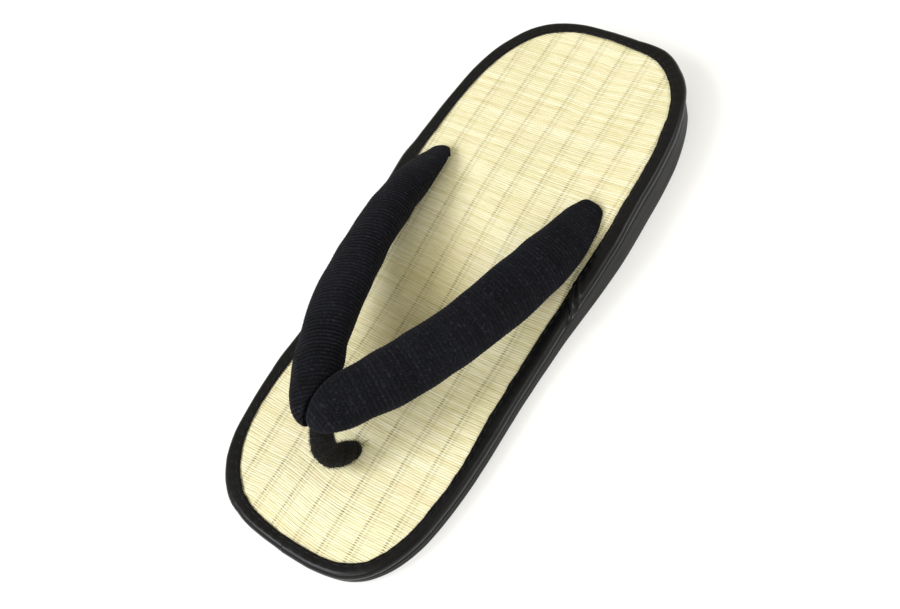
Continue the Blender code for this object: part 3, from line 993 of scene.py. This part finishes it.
class Copies:
    """A node group that makes copies of an object, and then one mesh of them in one material."""

    def __init__(self, name, entry, inputs, instance, material):
        self.tree = bpy.data.node_groups.new(name, "GeometryNodeTree")
        self.tree.interface.new_socket(entry, in_out="INPUT", socket_type="NodeSocketGeometry")
        self.tree.interface.new_socket("Copies", in_out="OUTPUT", socket_type="NodeSocketGeometry")
        self.identifiers = {}
        for label, value in inputs.items():
            kind = "NodeSocketInt" if isinstance(value, int) else "NodeSocketFloat"
            socket = self.tree.interface.new_socket(label, in_out="INPUT", socket_type=kind)
            socket.default_value = value
            self.identifiers[label] = socket.identifier
        self.inputs = inputs
        self.material = material
        self.source = self.add("NodeGroupInput").outputs
        self.copy = self.add("GeometryNodeInstanceOnPoints")
        shape = self.add("GeometryNodeObjectInfo")
        shape.inputs["Object"].default_value = instance
        self.join(shape.outputs["Geometry"], self.copy.inputs["Instance"])
        real = self.add("GeometryNodeRealizeInstances")
        self.join(self.copy.outputs["Instances"], real.inputs["Geometry"])
        paint = self.add("GeometryNodeSetMaterial")
        paint.inputs["Material"].default_value = material
        self.join(real.outputs["Geometry"], paint.inputs["Geometry"])
        self.join(paint.outputs["Geometry"], self.add("NodeGroupOutput").inputs["Copies"])

    def add(self, kind, **settings):
        made = self.tree.nodes.new(kind)
        for key, value in settings.items():
            setattr(made, key, value)
        return made

    def join(self, source, target):
        self.tree.links.new(source, target)

    def applied(self, name, host, slot):
        """The plain mesh that the group makes on a host, as a shown piece. The host goes."""
        modifier = host.modifiers.new("nodes", "NODES")
        modifier.node_group = self.tree
        for label, value in self.inputs.items():
            modifier[self.identifiers[label]] = value
        host.update_tag()
        bpy.context.view_layer.update()
        graph = bpy.context.evaluated_depsgraph_get()
        mesh = bpy.data.meshes.new_from_object(host.evaluated_get(graph), depsgraph=graph)
        mesh.name = name
        mesh.materials.clear()
        mesh.materials.append(self.material)
        bpy.data.objects.remove(host)
        piece = bpy.data.objects.new(name, mesh)
        bpy.context.scene.collection.objects.link(piece)
        return mounted(piece)


# %% Thread


def thread_material(name, colour):
    n = Nodes(name)
    dark = tuple(0.45 * part for part in colour)
    twist = n.noise(n.place(2600.0))
    return n.finish(n.colours(twist, (0.3, *dark), (0.7, *colour)), roughness=0.7)


BLACK_THREAD = thread_material("black thread", (0.005, 0.005, 0.006))

# %% [markdown]
# Stitches
# A machine sews the tape down a little way in from its inner edge. One stitch is a short thread
# that rises from the cloth and dives back into it. The script walks along the seam, drops a point
# for each stitch and keeps the stitch's turn at that point, which the node group reads back as a
# named attribute.

# %% One stitch
STITCH_PITCH = 0.0042
STITCH_LENGTH = 0.0030
STITCH_THREAD = 0.00013
STITCH_SINK = 0.00042
STITCH_IN = 0.0013


def stitch_shape(length, radius, sink):
    """One stitch along +X: a thread that rises from the cloth and dives back into it."""
    points = []
    sides = 8
    rings = 9
    for ring in range(rings):
        share = ring / (rings - 1)
        arch = math.sin(math.pi * share) ** 0.6
        size = radius * (0.55 + 0.45 * arch)
        rise = -sink + (sink + 0.6 * radius) * arch
        x = length * (share - 0.5)
        for side in range(sides):
            turn = 2.0 * math.pi * side / sides
            points.append((x, size * math.cos(turn), rise + size * math.sin(turn)))
    return plain_object("one stitch", points, turned_all(points, tube_faces(rings, sides)))


# %% A copy at each point


def row_of(instance, material, seed):
    """A copy of an object at each point of a mesh, turned by the point's own attribute."""
    inputs = {"Size": 1.0, "Uneven": 0.1, "Seed": seed}
    made = Copies("row", "Points", inputs, instance, material)
    turn = made.add("GeometryNodeInputNamedAttribute", data_type="FLOAT_VECTOR")
    turn.inputs["Name"].default_value = "turn"
    turned = made.add("FunctionNodeEulerToRotation")
    size = made.add("FunctionNodeRandomValue", data_type="FLOAT")
    for limit, operation in (("Min", "SUBTRACT"), ("Max", "ADD")):
        sum_of = made.add("ShaderNodeMath", operation=operation)
        made.join(made.source["Size"], sum_of.inputs[0])
        made.join(made.source["Uneven"], sum_of.inputs[1])
        made.join(sum_of.outputs[0], size.inputs[limit])
    made.join(made.source["Seed"], size.inputs["Seed"])
    made.join(made.source["Points"], made.copy.inputs["Points"])
    made.join(turn.outputs["Attribute"], turned.inputs["Euler"])
    made.join(turned.outputs["Rotation"], made.copy.inputs["Rotation"])
    made.join(size.outputs["Value"], made.copy.inputs["Scale"])
    return made


# %% The seam


def build_stitches():
    """A row of black stitches on the tape, a little way in from its inner edge."""
    plan, outward, _ = rim(2400)
    line = plan - outward * (TAPE_TOP_REACH - STITCH_IN + by_hand(plan, 2))[:, None]
    steps = np.linalg.norm(np.diff(line, axis=0, append=line[:1]), axis=1)
    passed = np.concatenate([[0.0], np.cumsum(steps)[:-1]])
    count = int(round(steps.sum() / STITCH_PITCH))
    ahead = 0.0005
    places = []
    turns = []
    for stitch in range(count):
        wanted = (stitch + 0.5) * steps.sum() / count
        x, next_x = np.interp((wanted, wanted + ahead), passed, line[:, 0])
        y, next_y = np.interp((wanted, wanted + ahead), passed, line[:, 1])
        slope = (mat_top(next_y) - mat_top(y)) / ahead
        lap = 0.7 * TAPE_LAP_SWELL * lap_height(y, STITCH_IN)
        z = mat_top(y) + TAPE_THICKNESS + CLEARANCE + 0.00004 + lap
        heading = math.atan2(next_y - y, next_x - x) + 0.06 * math.sin(stitch * 2.4)
        places.append((x, y, float(z)))
        turns.append((0.0, -math.atan(float(slope)), heading))
    host = plain_object("host", nudged(places), [])
    layer = host.data.attributes.new("turn", "FLOAT_VECTOR", "POINT")
    layer.data.foreach_set("vector", np.asarray(turns, np.float32).ravel())
    stitch = stitch_shape(STITCH_LENGTH, STITCH_THREAD, STITCH_SINK)
    made = row_of(stitch, BLACK_THREAD, 5).applied("tape_stitches", host, "binding")
    bpy.data.objects.remove(stitch)
    made.data.shade_smooth()
    print(count, "stitches")


build_stitches()

# %% [markdown]
# Strap
# The strap is a tube of ribbed cloth stuffed with wadding, in two arms that press together in
# front. Cloth could be simulated, but this shape is firm and known, so it is swept: a smooth
# curve runs from the slit in the mat to the front of the V, and an oval section follows it,
# leaning outwards on the way. Ribs and soft lumps are added to each ring. Last, a soft limit
# stops either arm at the line where the two meet.

# %% Ribbed cloth
STRAP_RIB = 0.00165


def strap_material():
    """Blue-black ribbed cloth: matte ribs, painted shade in grooves, threads along ribs, lint."""
    n = Nodes("strap cloth")
    rib = n.attribute("rib")
    groove = n.eased(n.from_middle(rib), 0.14, 0.44)
    thread = n.noise(n.joined(n.times(n.attribute("round"), 1800.0), n.times(rib, 2.4)), 2.0, 0.6)
    lint = n.noise(n.place(900.0), 3.0, 0.6)
    cloud = n.noise(n.place(60.0), 3.0)
    tint = n.random(n.joined(n.math("FLOOR", rib), 3.0))
    shade = n.plus(n.times(cloud, 0.6), n.times(tint, 0.4))
    colour = n.colours(shade, (0.20, 0.0024, 0.0026, 0.0038), (0.85, 0.0070, 0.0074, 0.0110))
    colour = n.tinted(colour, n.eased(thread, 0.50, 0.76, 0.0, 0.60), (0.026, 0.027, 0.036))
    colour = n.tinted(colour, n.eased(lint, 0.54, 0.72, 0.0, 0.55), (0.030, 0.031, 0.040))
    # Painted shade: the grooves between the ribs are darkened, more where deep is higher
    colour = n.tinted(colour, n.times(groove, n.attribute("deep")), (0.0004, 0.0004, 0.0007))
    height = n.plus(n.times(thread, 0.6), n.times(lint, 0.4))
    return n.finish(
        colour,
        n.bump(height, 0.00018, 0.8),
        roughness=0.95,
        specular=0.08,
        sheen=0.025,
        sheen_roughness=0.45,
        sheen_tint=(0.75, 0.78, 1.0, 1.0),
    )


CLOTH = strap_material()

# %% The run of an arm
STRAP_RINGS = 620
STRAP_SIDES = 44
LITTLE_TOE_ARM_TILT = 0.40


def bulge(share, middle, reach):
    return np.exp(-(((share - middle) / reach) ** 2))


def strap_rows(side, count):
    """The arm's centre line and section, from the slit in the mat to the front of the V."""
    tip_y = HALF_LENGTH - STRAP_TIP_FROM_HEEL - STRAP_TIP_STAGGER * side
    arm_reach = tip_y + HALF_LENGTH - STRAP_FRONT_FROM_TOE
    spread = 0.5 * STRAP_SPREAD * side
    first = STRAP_ROWS[0]
    rows = []
    for depth in (0.80, 0.25):
        level = mat_top(tip_y) - depth * MAT_THICKNESS
        rows.append((0.965 * spread, tip_y - 0.0025, level, 0.8 * first[3], first[4], 0.0))
    for reach, across, rise, width, thickness, lean in STRAP_ROWS:
        y = tip_y - reach * arm_reach
        shift = STRAP_END_SHIFT * smoothstep((reach - SHIFT_START) / (1.0 - SHIFT_START))
        height = mat_top(y) + rise * STRAP_RISE + 0.5 * shift * side
        tilt = lean if side > 0 else -LITTLE_TOE_ARM_TILT * lean
        rows.append((across * spread - shift, y, height, width, thickness, tilt))
    rows = curve(rows, count)
    steps = np.linalg.norm(np.diff(rows[:, :3], axis=0), axis=1)
    passed = np.concatenate([[0.0], np.cumsum(steps)])
    # The stuffing is a little uneven, and differs from arm to arm
    share = passed / passed[-1]
    if side < 0:
        rows[:, 3] *= 1.0 + 0.10 * bulge(share, 0.52, 0.30)
    else:
        rows[:, 3] *= 1.0 - 0.05 * bulge(share, 0.17, 0.10)
    left = (passed[-1] - passed) / STRAP_END_ROUND
    rounding = np.sqrt(np.clip(1.0 - (1.0 - left).clip(0.0, 1.0) ** 2, 0.0004, 1.0))
    rows[:, 3] *= 0.5 * STRAP_WIDTH * rounding
    rows[:, 4] *= 0.5 * STRAP_THICKNESS * rounding
    return rows, passed


# %% A section swept along a curve


def sweep(rows, sides, relief):
    """Rings of a padded tube. relief gives how far each point stands out of the plain section."""
    path = rows[:, :3]
    along = np.gradient(path, axis=0)
    along /= np.linalg.norm(along, axis=1)[:, None]
    rings = np.zeros((len(rows), sides, 3))
    angles = np.linspace(0.0, 2.0 * math.pi, sides, endpoint=False)
    across = np.array([1.0, 0.0, 0.0])
    for place, (centre, way, (half, thick, lean)) in enumerate(zip(path, along, rows[:, 3:6])):
        across = across - way * across.dot(way)
        across /= np.linalg.norm(across)
        up = np.cross(way, across)
        turn = math.radians(lean)
        wide = across * math.cos(turn) - up * math.sin(turn)
        high = up * math.cos(turn) + across * math.sin(turn)
        reach = (half + relief[place]) * np.cos(angles)
        rise = (thick + relief[place]) * np.sin(angles)
        rings[place] = centre + reach[:, None] * wide + rise[:, None] * high
    return rings


# %% Ribs, lumps and the meeting line
MEETING_Y = (-0.1000, -0.0930, -0.0880, -0.0710)
MEETING_X = (-0.0005, -0.0028, -0.0032, -0.0004)


def arm_relief(side, s, a, rib, length):
    """Ribs of the cloth and soft lumps of the wadding, which fade out at both ends."""
    within = (rib % 1.0 - 0.5) * 2.0
    rib_height = 0.00026 if side > 0 else 0.00046
    ribs = rib_height * (np.sqrt(np.clip(1.0 - 0.9 * within**2, 0.0, 1.0)) - 0.7)
    lumps = 0.00045 * noise(s, 33 if side > 0 else 34, 0.011) * (0.6 + 0.4 * np.cos(a * 2.0 + 1.0))
    lumps = lumps + 0.00030 * noise(s * 0.5 + a * 0.012, 35, 0.006)
    return (ribs + lumps) * smoothstep(s / 0.012) * smoothstep((length - s) / 0.006)


def contact(y):
    """Where the two arms meet, as x for each y: the +X arm laps over the other's end."""
    return np.interp(y, MEETING_Y, MEETING_X)


def pressed_together(rings, side):
    """Flattens the arms against each other where they meet, and keeps the cloth on the mat."""
    meet = contact(rings[:, :, 1])
    gap = (rings[:, :, 0] - meet) * side
    soft = 0.0011
    pressed = soft * np.log1p(np.exp(np.clip(gap / soft, -40.0, 40.0)))
    moved = meet + side * (pressed + 0.00005)
    front = smoothstep((-0.045 - rings[:, :, 1]) / 0.02)
    rings[:, :, 0] = rings[:, :, 0] * (1.0 - front) + moved * front
    rings[:, :, 2] = np.maximum(rings[:, :, 2], mat_top(rings[:, :, 1]) - 0.002)
    return rings


# %% The two arms


def end_fans(faces, count, sides):
    """Triangles from a tube's end rings to the two points after them, facing as its sides do."""
    here = np.arange(sides)
    after = (here + 1) % sides
    last = count - sides
    low = [(count, i, j) for i, j in zip(here, after)]
    high = [(count + 1, j, i) for i, j in zip(here + last, after + last)]
    ahead = tuple(faces[0][:2]) == (0, 1)
    return [face[::-1] if ahead else face for face in low + high]


def groove_depth(side, s, a, length):
    """How dark the painted groove shade is: the arm on the little toe's side shows its ribs more."""
    reach = s / length
    if side > 0:
        deep = 0.42 + 0.28 * smoothstep((0.5 - reach) / 0.4)
    else:
        deep = 0.55 + 0.40 * smoothstep(reach / 0.3)
    return deep * (0.8 + 0.25 * noise(s + 0.4 * a * 0.01, 38, 0.012))


def build_arm(side, name):
    rows, passed = strap_rows(side, STRAP_RINGS)
    length = passed[-1]
    angles = np.linspace(0.0, 2.0 * math.pi, STRAP_SIDES, endpoint=False)
    s, a = np.meshgrid(passed, angles, indexing="ij")
    wander = 0.35 * noise(s, 31 if side > 0 else 32, 0.03)
    rib = s / STRAP_RIB + 0.25 * np.cos(a - 0.6) + wander + 40.0
    rings = sweep(rows, STRAP_SIDES, arm_relief(side, s, a, rib, length))
    rings = pressed_together(rings, side)
    count = STRAP_RINGS * STRAP_SIDES
    points = rings.reshape(-1, 3)
    faces = turned_outward(points, grid_faces(STRAP_RINGS, STRAP_SIDES, wrap_columns=True))
    points = np.concatenate([points, rings[0].mean(0)[None], rings[-1].mean(0)[None]])
    faces = [tuple(face) for face in faces] + end_fans(faces, count, STRAP_SIDES)
    attributes = {
        "deep": np.append(groove_depth(side, s, a, length), [0.0, 0.0]),
        "rib": np.append(rib, [rib[0, 0], rib[-1, 0]]),
        "round": np.append(a * 0.010, [0.0, 0.0]),
    }
    piece = mesh_piece(name, points, faces, CLOTH, attributes)
    print(name, "is", round(float(length), 4), "m long")
    return piece


left_arm = build_arm(1.0, "strap_left_arm")
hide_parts("strap")
right_arm = build_arm(-1.0, "strap_right_arm")

# %% [markdown]
# Lint and pile
# Under a soft light, brushed cloth has a faint halo: hairs that are too thin to see one by one. A
# node group scatters bent hairs over a copy of the piece. Each hair stands along the surface's
# normal, turned and leaned at random. A hair has three sides and two steps, because there are
# thousands.

# %% One hair


def hair_shape(bend, radius, segments, sides=3):
    """One hair of unit length along +Z, thinner towards its tip and bent towards +X."""
    points = []
    for step in range(segments):
        share = step / segments
        size = radius * (1.0 - 0.75 * share)
        for side in range(sides):
            turn = 2.0 * math.pi * side / sides
            points.append((bend * share**2 + size * math.cos(turn), size * math.sin(turn), share))
    points.append((bend, 0.0, 1.0))
    faces = [tuple(face) for face in grid_faces(segments, sides, wrap_columns=True)]
    low = (segments - 1) * sides
    faces += [(low + side, low + (side + 1) % sides, len(points) - 1) for side in range(sides)]
    faces.append(tuple(range(sides))[::-1])
    return plain_object("one hair", points, faces)


# %% Hairs over a surface


def scattered(instance, material, density, shortest, longest, lean, seed):
    """Copies of an object spread over a surface, each turned about and leaning off the normal."""
    inputs = {
        "Density": density,
        "Shortest": shortest,
        "Longest": longest,
        "Lean": lean,
        "Seed": seed,
    }
    made = Copies("scatter", "Surface", inputs, instance, material)
    spread = made.add("GeometryNodeDistributePointsOnFaces")
    length = made.add("FunctionNodeRandomValue", data_type="FLOAT")
    lean_by = made.add("FunctionNodeRandomValue", data_type="FLOAT_VECTOR")
    negative = made.add("ShaderNodeMath", operation="MULTIPLY")
    negative.inputs[1].default_value = -1.0
    made.join(made.source["Lean"], negative.inputs[0])
    limits = (("Min", negative.outputs[0], -math.pi), ("Max", made.source["Lean"], math.pi))
    for limit, leaning, about in limits:
        angles = made.add("ShaderNodeCombineXYZ")
        angles.inputs["Z"].default_value = about
        made.join(leaning, angles.inputs["X"])
        made.join(leaning, angles.inputs["Y"])
        made.join(angles.outputs[0], lean_by.inputs[limit])
    turned = made.add("FunctionNodeEulerToRotation")
    turn = made.add("FunctionNodeRotateRotation", rotation_space="LOCAL")
    made.join(made.source["Surface"], spread.inputs["Mesh"])
    made.join(made.source["Density"], spread.inputs["Density"])
    for node in (spread, length, lean_by):
        made.join(made.source["Seed"], node.inputs["Seed"])
    made.join(made.source["Shortest"], length.inputs["Min"])
    made.join(made.source["Longest"], length.inputs["Max"])
    made.join(lean_by.outputs["Value"], turned.inputs["Euler"])
    made.join(spread.outputs["Rotation"], turn.inputs["Rotation"])
    made.join(turned.outputs["Rotation"], turn.inputs["Rotate By"])
    made.join(spread.outputs["Points"], made.copy.inputs["Points"])
    made.join(turn.outputs["Rotation"], made.copy.inputs["Rotation"])
    made.join(length.outputs["Value"], made.copy.inputs["Scale"])
    return made


def fuzz(name, surface, material, slot, thickness, **settings):
    """Hairs all over a piece. thickness is a hair's radius as a share of its length."""
    hair = hair_shape(0.35, thickness, 2)
    host = bpy.data.objects.new("host", surface.data.copy())
    bpy.context.scene.collection.objects.link(host)
    scattered(hair, material, **settings).applied(name, host, slot)
    bpy.data.objects.remove(hair)


# %% Lint on the arms
LINT = thread_material("cloth lint", (0.0062, 0.0065, 0.0090))
LINT_HAIRS = {
    "thickness": 0.030,
    "density": 0.6e6,
    "shortest": 0.0004,
    "longest": 0.0010,
    "lean": 1.1,
}
fuzz("strap_left_lint", left_arm, LINT, "strap", seed=12, **LINT_HAIRS)
fuzz("strap_right_lint", right_arm, LINT, "strap", seed=13, **LINT_HAIRS)

# %% [markdown]
# Cord between the toes
# A cord with a black pile comes out under the front of the strap, bows towards the toe and goes
# down through the mat. It is swept like the strap, with a round section. Noise makes its skin
# uneven, and a dense, short pile hides the skin almost everywhere, as on the real cord.

# %% Pile


def pile_material():
    """Black pile of the cord, with lighter fibre ends."""
    n = Nodes("cord pile")
    fuzzy = n.noise(n.place(1300.0), 3.0, 0.65)
    cloud = n.noise(n.place(320.0), 3.0)
    colour = n.colours(
        fuzzy,
        (0.32, 0.0010, 0.0010, 0.0010),
        (0.60, 0.0046, 0.0044, 0.0044),
        (0.80, 0.024, 0.023, 0.022),
    )
    normal = n.bump(fuzzy, 0.0005, 0.9, n.bump(cloud, 0.0010, 0.6))
    return n.finish(colour, normal, roughness=0.95, specular=0.15, sheen=0.02, sheen_roughness=0.5)


PILE = pile_material()
PILE_TIPS = thread_material("pile tips", (0.0090, 0.0086, 0.0086))

# %% The cord
CORD_RINGS = 110
CORD_SIDES = 40


def post_rows(count):
    """The cord's centre line and section, from the strap's front down through the mat."""
    rows = []
    for bow, side, height, thickness in POST_ROWS:
        y = HOLE_Y - bow * POST_BOW
        level = mat_top(y) + height * STRAP_RISE
        rows.append((side * POST_HOLE_SIDE, y, level, thickness, thickness, 0.0))
    for depth in (0.5 * MAT_THICKNESS, MAT_THICKNESS):
        rows.append((0.86 * POST_HOLE_SIDE, HOLE_Y, mat_top(HOLE_Y) - depth, 0.80, 0.80, 0.0))
    rows = curve(rows, count)
    rows[:, 3:5] *= 0.5 * POST_DIAMETER
    return rows


def build_post():
    rows = post_rows(CORD_RINGS)
    angles = np.linspace(0.0, 2.0 * math.pi, CORD_SIDES, endpoint=False)
    s, a = np.meshgrid(np.linspace(0.0, 0.045, CORD_RINGS), angles, indexing="ij")
    relief = noise(s + 0.0021 * np.cos(a), 41, 0.0016) + noise(a * 0.004 + s * 0.6, 42, 0.0018)
    points = sweep(rows, CORD_SIDES, 0.00022 * relief).reshape(-1, 3)
    faces = turned_all(points, tube_faces(CORD_RINGS, CORD_SIDES))
    piece = mesh_piece("toe_cord", points, faces, PILE)
    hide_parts("toe_post")
    steps = np.linalg.norm(np.diff(rows[:, :3], axis=0), axis=1)
    print("the cord is", round(float(steps.sum()), 4), "m long")
    return piece


cord = build_post()
PILE_HAIRS = {
    "thickness": 0.036,
    "density": 3.2e6,
    "shortest": 0.0006,
    "longest": 0.0015,
    "lean": 0.80,
}
fuzz("cord_pile", cord, PILE_TIPS, "post", seed=7, **PILE_HAIRS)

# %% [markdown]
# Loose threads
# A few black threads have worked loose round the hole. Seven of them are quicker made directly
# than by nodes. Each one walks off in its own direction in eight steps, turns a little at each,
# rises off the mat and comes down again.

# %% Threads round the hole
THREAD_STEPS = 8
THREAD_RADIUS = 0.00009
THREAD_START = 0.0038


def thread_line(dice):
    """The way that a loose thread first heads, and its points in space."""
    heading = dice.uniform(-0.9, 2.2)
    length = dice.uniform(0.0018, 0.0042)
    bend = dice.uniform(-1.2, 1.2)
    x = POST_HOLE_SIDE + THREAD_START * math.cos(heading)
    y = HOLE_Y + THREAD_START * math.sin(heading)
    turn = heading
    line = []
    for step in range(THREAD_STEPS + 1):
        arch = math.sin(math.pi * min(step / THREAD_STEPS * 1.25, 1.0))
        height = mat_top(y) + 0.00025 + 0.0016 * arch * dice.uniform(0.7, 1.0)
        line.append((x, y, float(height)))
        turn += bend / THREAD_STEPS
        x += math.cos(turn) * length / THREAD_STEPS
        y += math.sin(turn) * length / THREAD_STEPS
    return heading, line


def stray_threads():
    """Loose threads round the hole, each a thin tapered tube."""
    dice = np.random.default_rng(17)
    points = []
    faces = []
    sides = 5
    for _ in range(7):
        heading, line = thread_line(dice)
        faces += tube_faces(THREAD_STEPS + 1, sides, len(points))
        for step, (x, y, z) in enumerate(line):
            size = THREAD_RADIUS * (1.0 - 0.5 * step / THREAD_STEPS)
            for side in range(sides):
                angle = 2.0 * math.pi * side / sides
                out = size * math.cos(angle)
                rise = size * math.sin(angle)
                points.append((x - math.sin(heading) * out, y + math.cos(heading) * out, z + rise))
    mesh_piece("cord_stray_threads", points, faces, BLACK_THREAD)


stray_threads()

# %% [markdown]
# Floor, light and camera
# The photograph was taken on white, with soft light from one side. A pale floor that glows a
# little gives that white and keeps a faint shadow. The key is a square panel up to the side of
# the little toe, the fill is a long panel that draws the highlight along the tape, and the front
# panel opens the shadows. The camera looks down from the big toe's side and is rolled, so the
# sandal lies across the picture.

# %% Floor


def floor_material():
    n = Nodes("pale floor")
    tint = n.noise(n.place(6.0))
    colour = n.colours(tint, (0.3, 0.54, 0.54, 0.54), (0.7, 0.57, 0.57, 0.57))
    return n.finish(colour, roughness=0.85, glow=(1.0, 1.0, 1.0, 1.0), glow_strength=0.42)


def build_floor():
    edge = 6.0
    corners = [(-edge, -edge, 0.0), (edge, -edge, 0.0), (edge, edge, 0.0), (-edge, edge, 0.0)]
    floor = plain_object("floor", corners, [(0, 1, 2, 3)])
    floor.data.materials.append(floor_material())


build_floor()

# %% Lights
LIGHTS = (
    # name, place, width, height, power, colour
    ("key", (-0.52, -0.66, 0.90), 0.50, 0.50, 10.6, (0.925, 0.950, 1.0)),
    ("fill", (0.93, 0.57, 0.63), 0.90, 0.24, 7.0, (0.98, 0.99, 1.0)),
    ("front", (0.1, -1.1, 0.8), 0.8, 0.6, 7.4, (1.0, 1.0, 1.0)),
)


def area_light(name, place, width, height, power, colour):
    light = bpy.data.lights.new(name, "AREA")
    light.shape = "RECTANGLE"
    light.size = width
    light.size_y = height
    light.energy = power
    light.color = colour
    lamp = bpy.data.objects.new(name, light)
    lamp.location = place
    lamp.rotation_euler = (-Vector(place)).to_track_quat("-Z", "Y").to_euler()
    bpy.context.scene.collection.objects.link(lamp)


for row in LIGHTS:
    area_light(*row)
world = bpy.data.worlds.new("studio")
world.use_nodes = True
background = world.node_tree.nodes["Background"]
background.inputs["Color"].default_value = (1.0, 0.955, 0.77, 1.0)
background.inputs["Strength"].default_value = 0.60
bpy.context.scene.world = world
bpy.context.scene.view_settings.view_transform = "Standard"
print(len(LIGHTS), "lights")

# %% Camera
CAMERA_PLACE = (0.22906, -0.18390, 0.40463)
CAMERA_AIM = (0.00512, -0.01747, 0.0140)
CAMERA_ROLL = 24.98
CAMERA_LENS = 47.70

eye = bpy.data.cameras.new("camera")
eye.lens = CAMERA_LENS
eye.sensor_width = 36.0
eye.clip_start = 0.01
eye.clip_end = 20.0
camera = bpy.data.objects.new("camera", eye)
bpy.context.scene.collection.objects.link(camera)
look = (Vector(CAMERA_AIM) - Vector(CAMERA_PLACE)).to_track_quat("-Z", "Y").to_matrix().to_4x4()
roll = Matrix.Rotation(math.radians(-CAMERA_ROLL), 4, "Z")
camera.matrix_world = Matrix.Translation(Vector(CAMERA_PLACE)) @ look @ roll
bpy.context.scene.camera = camera
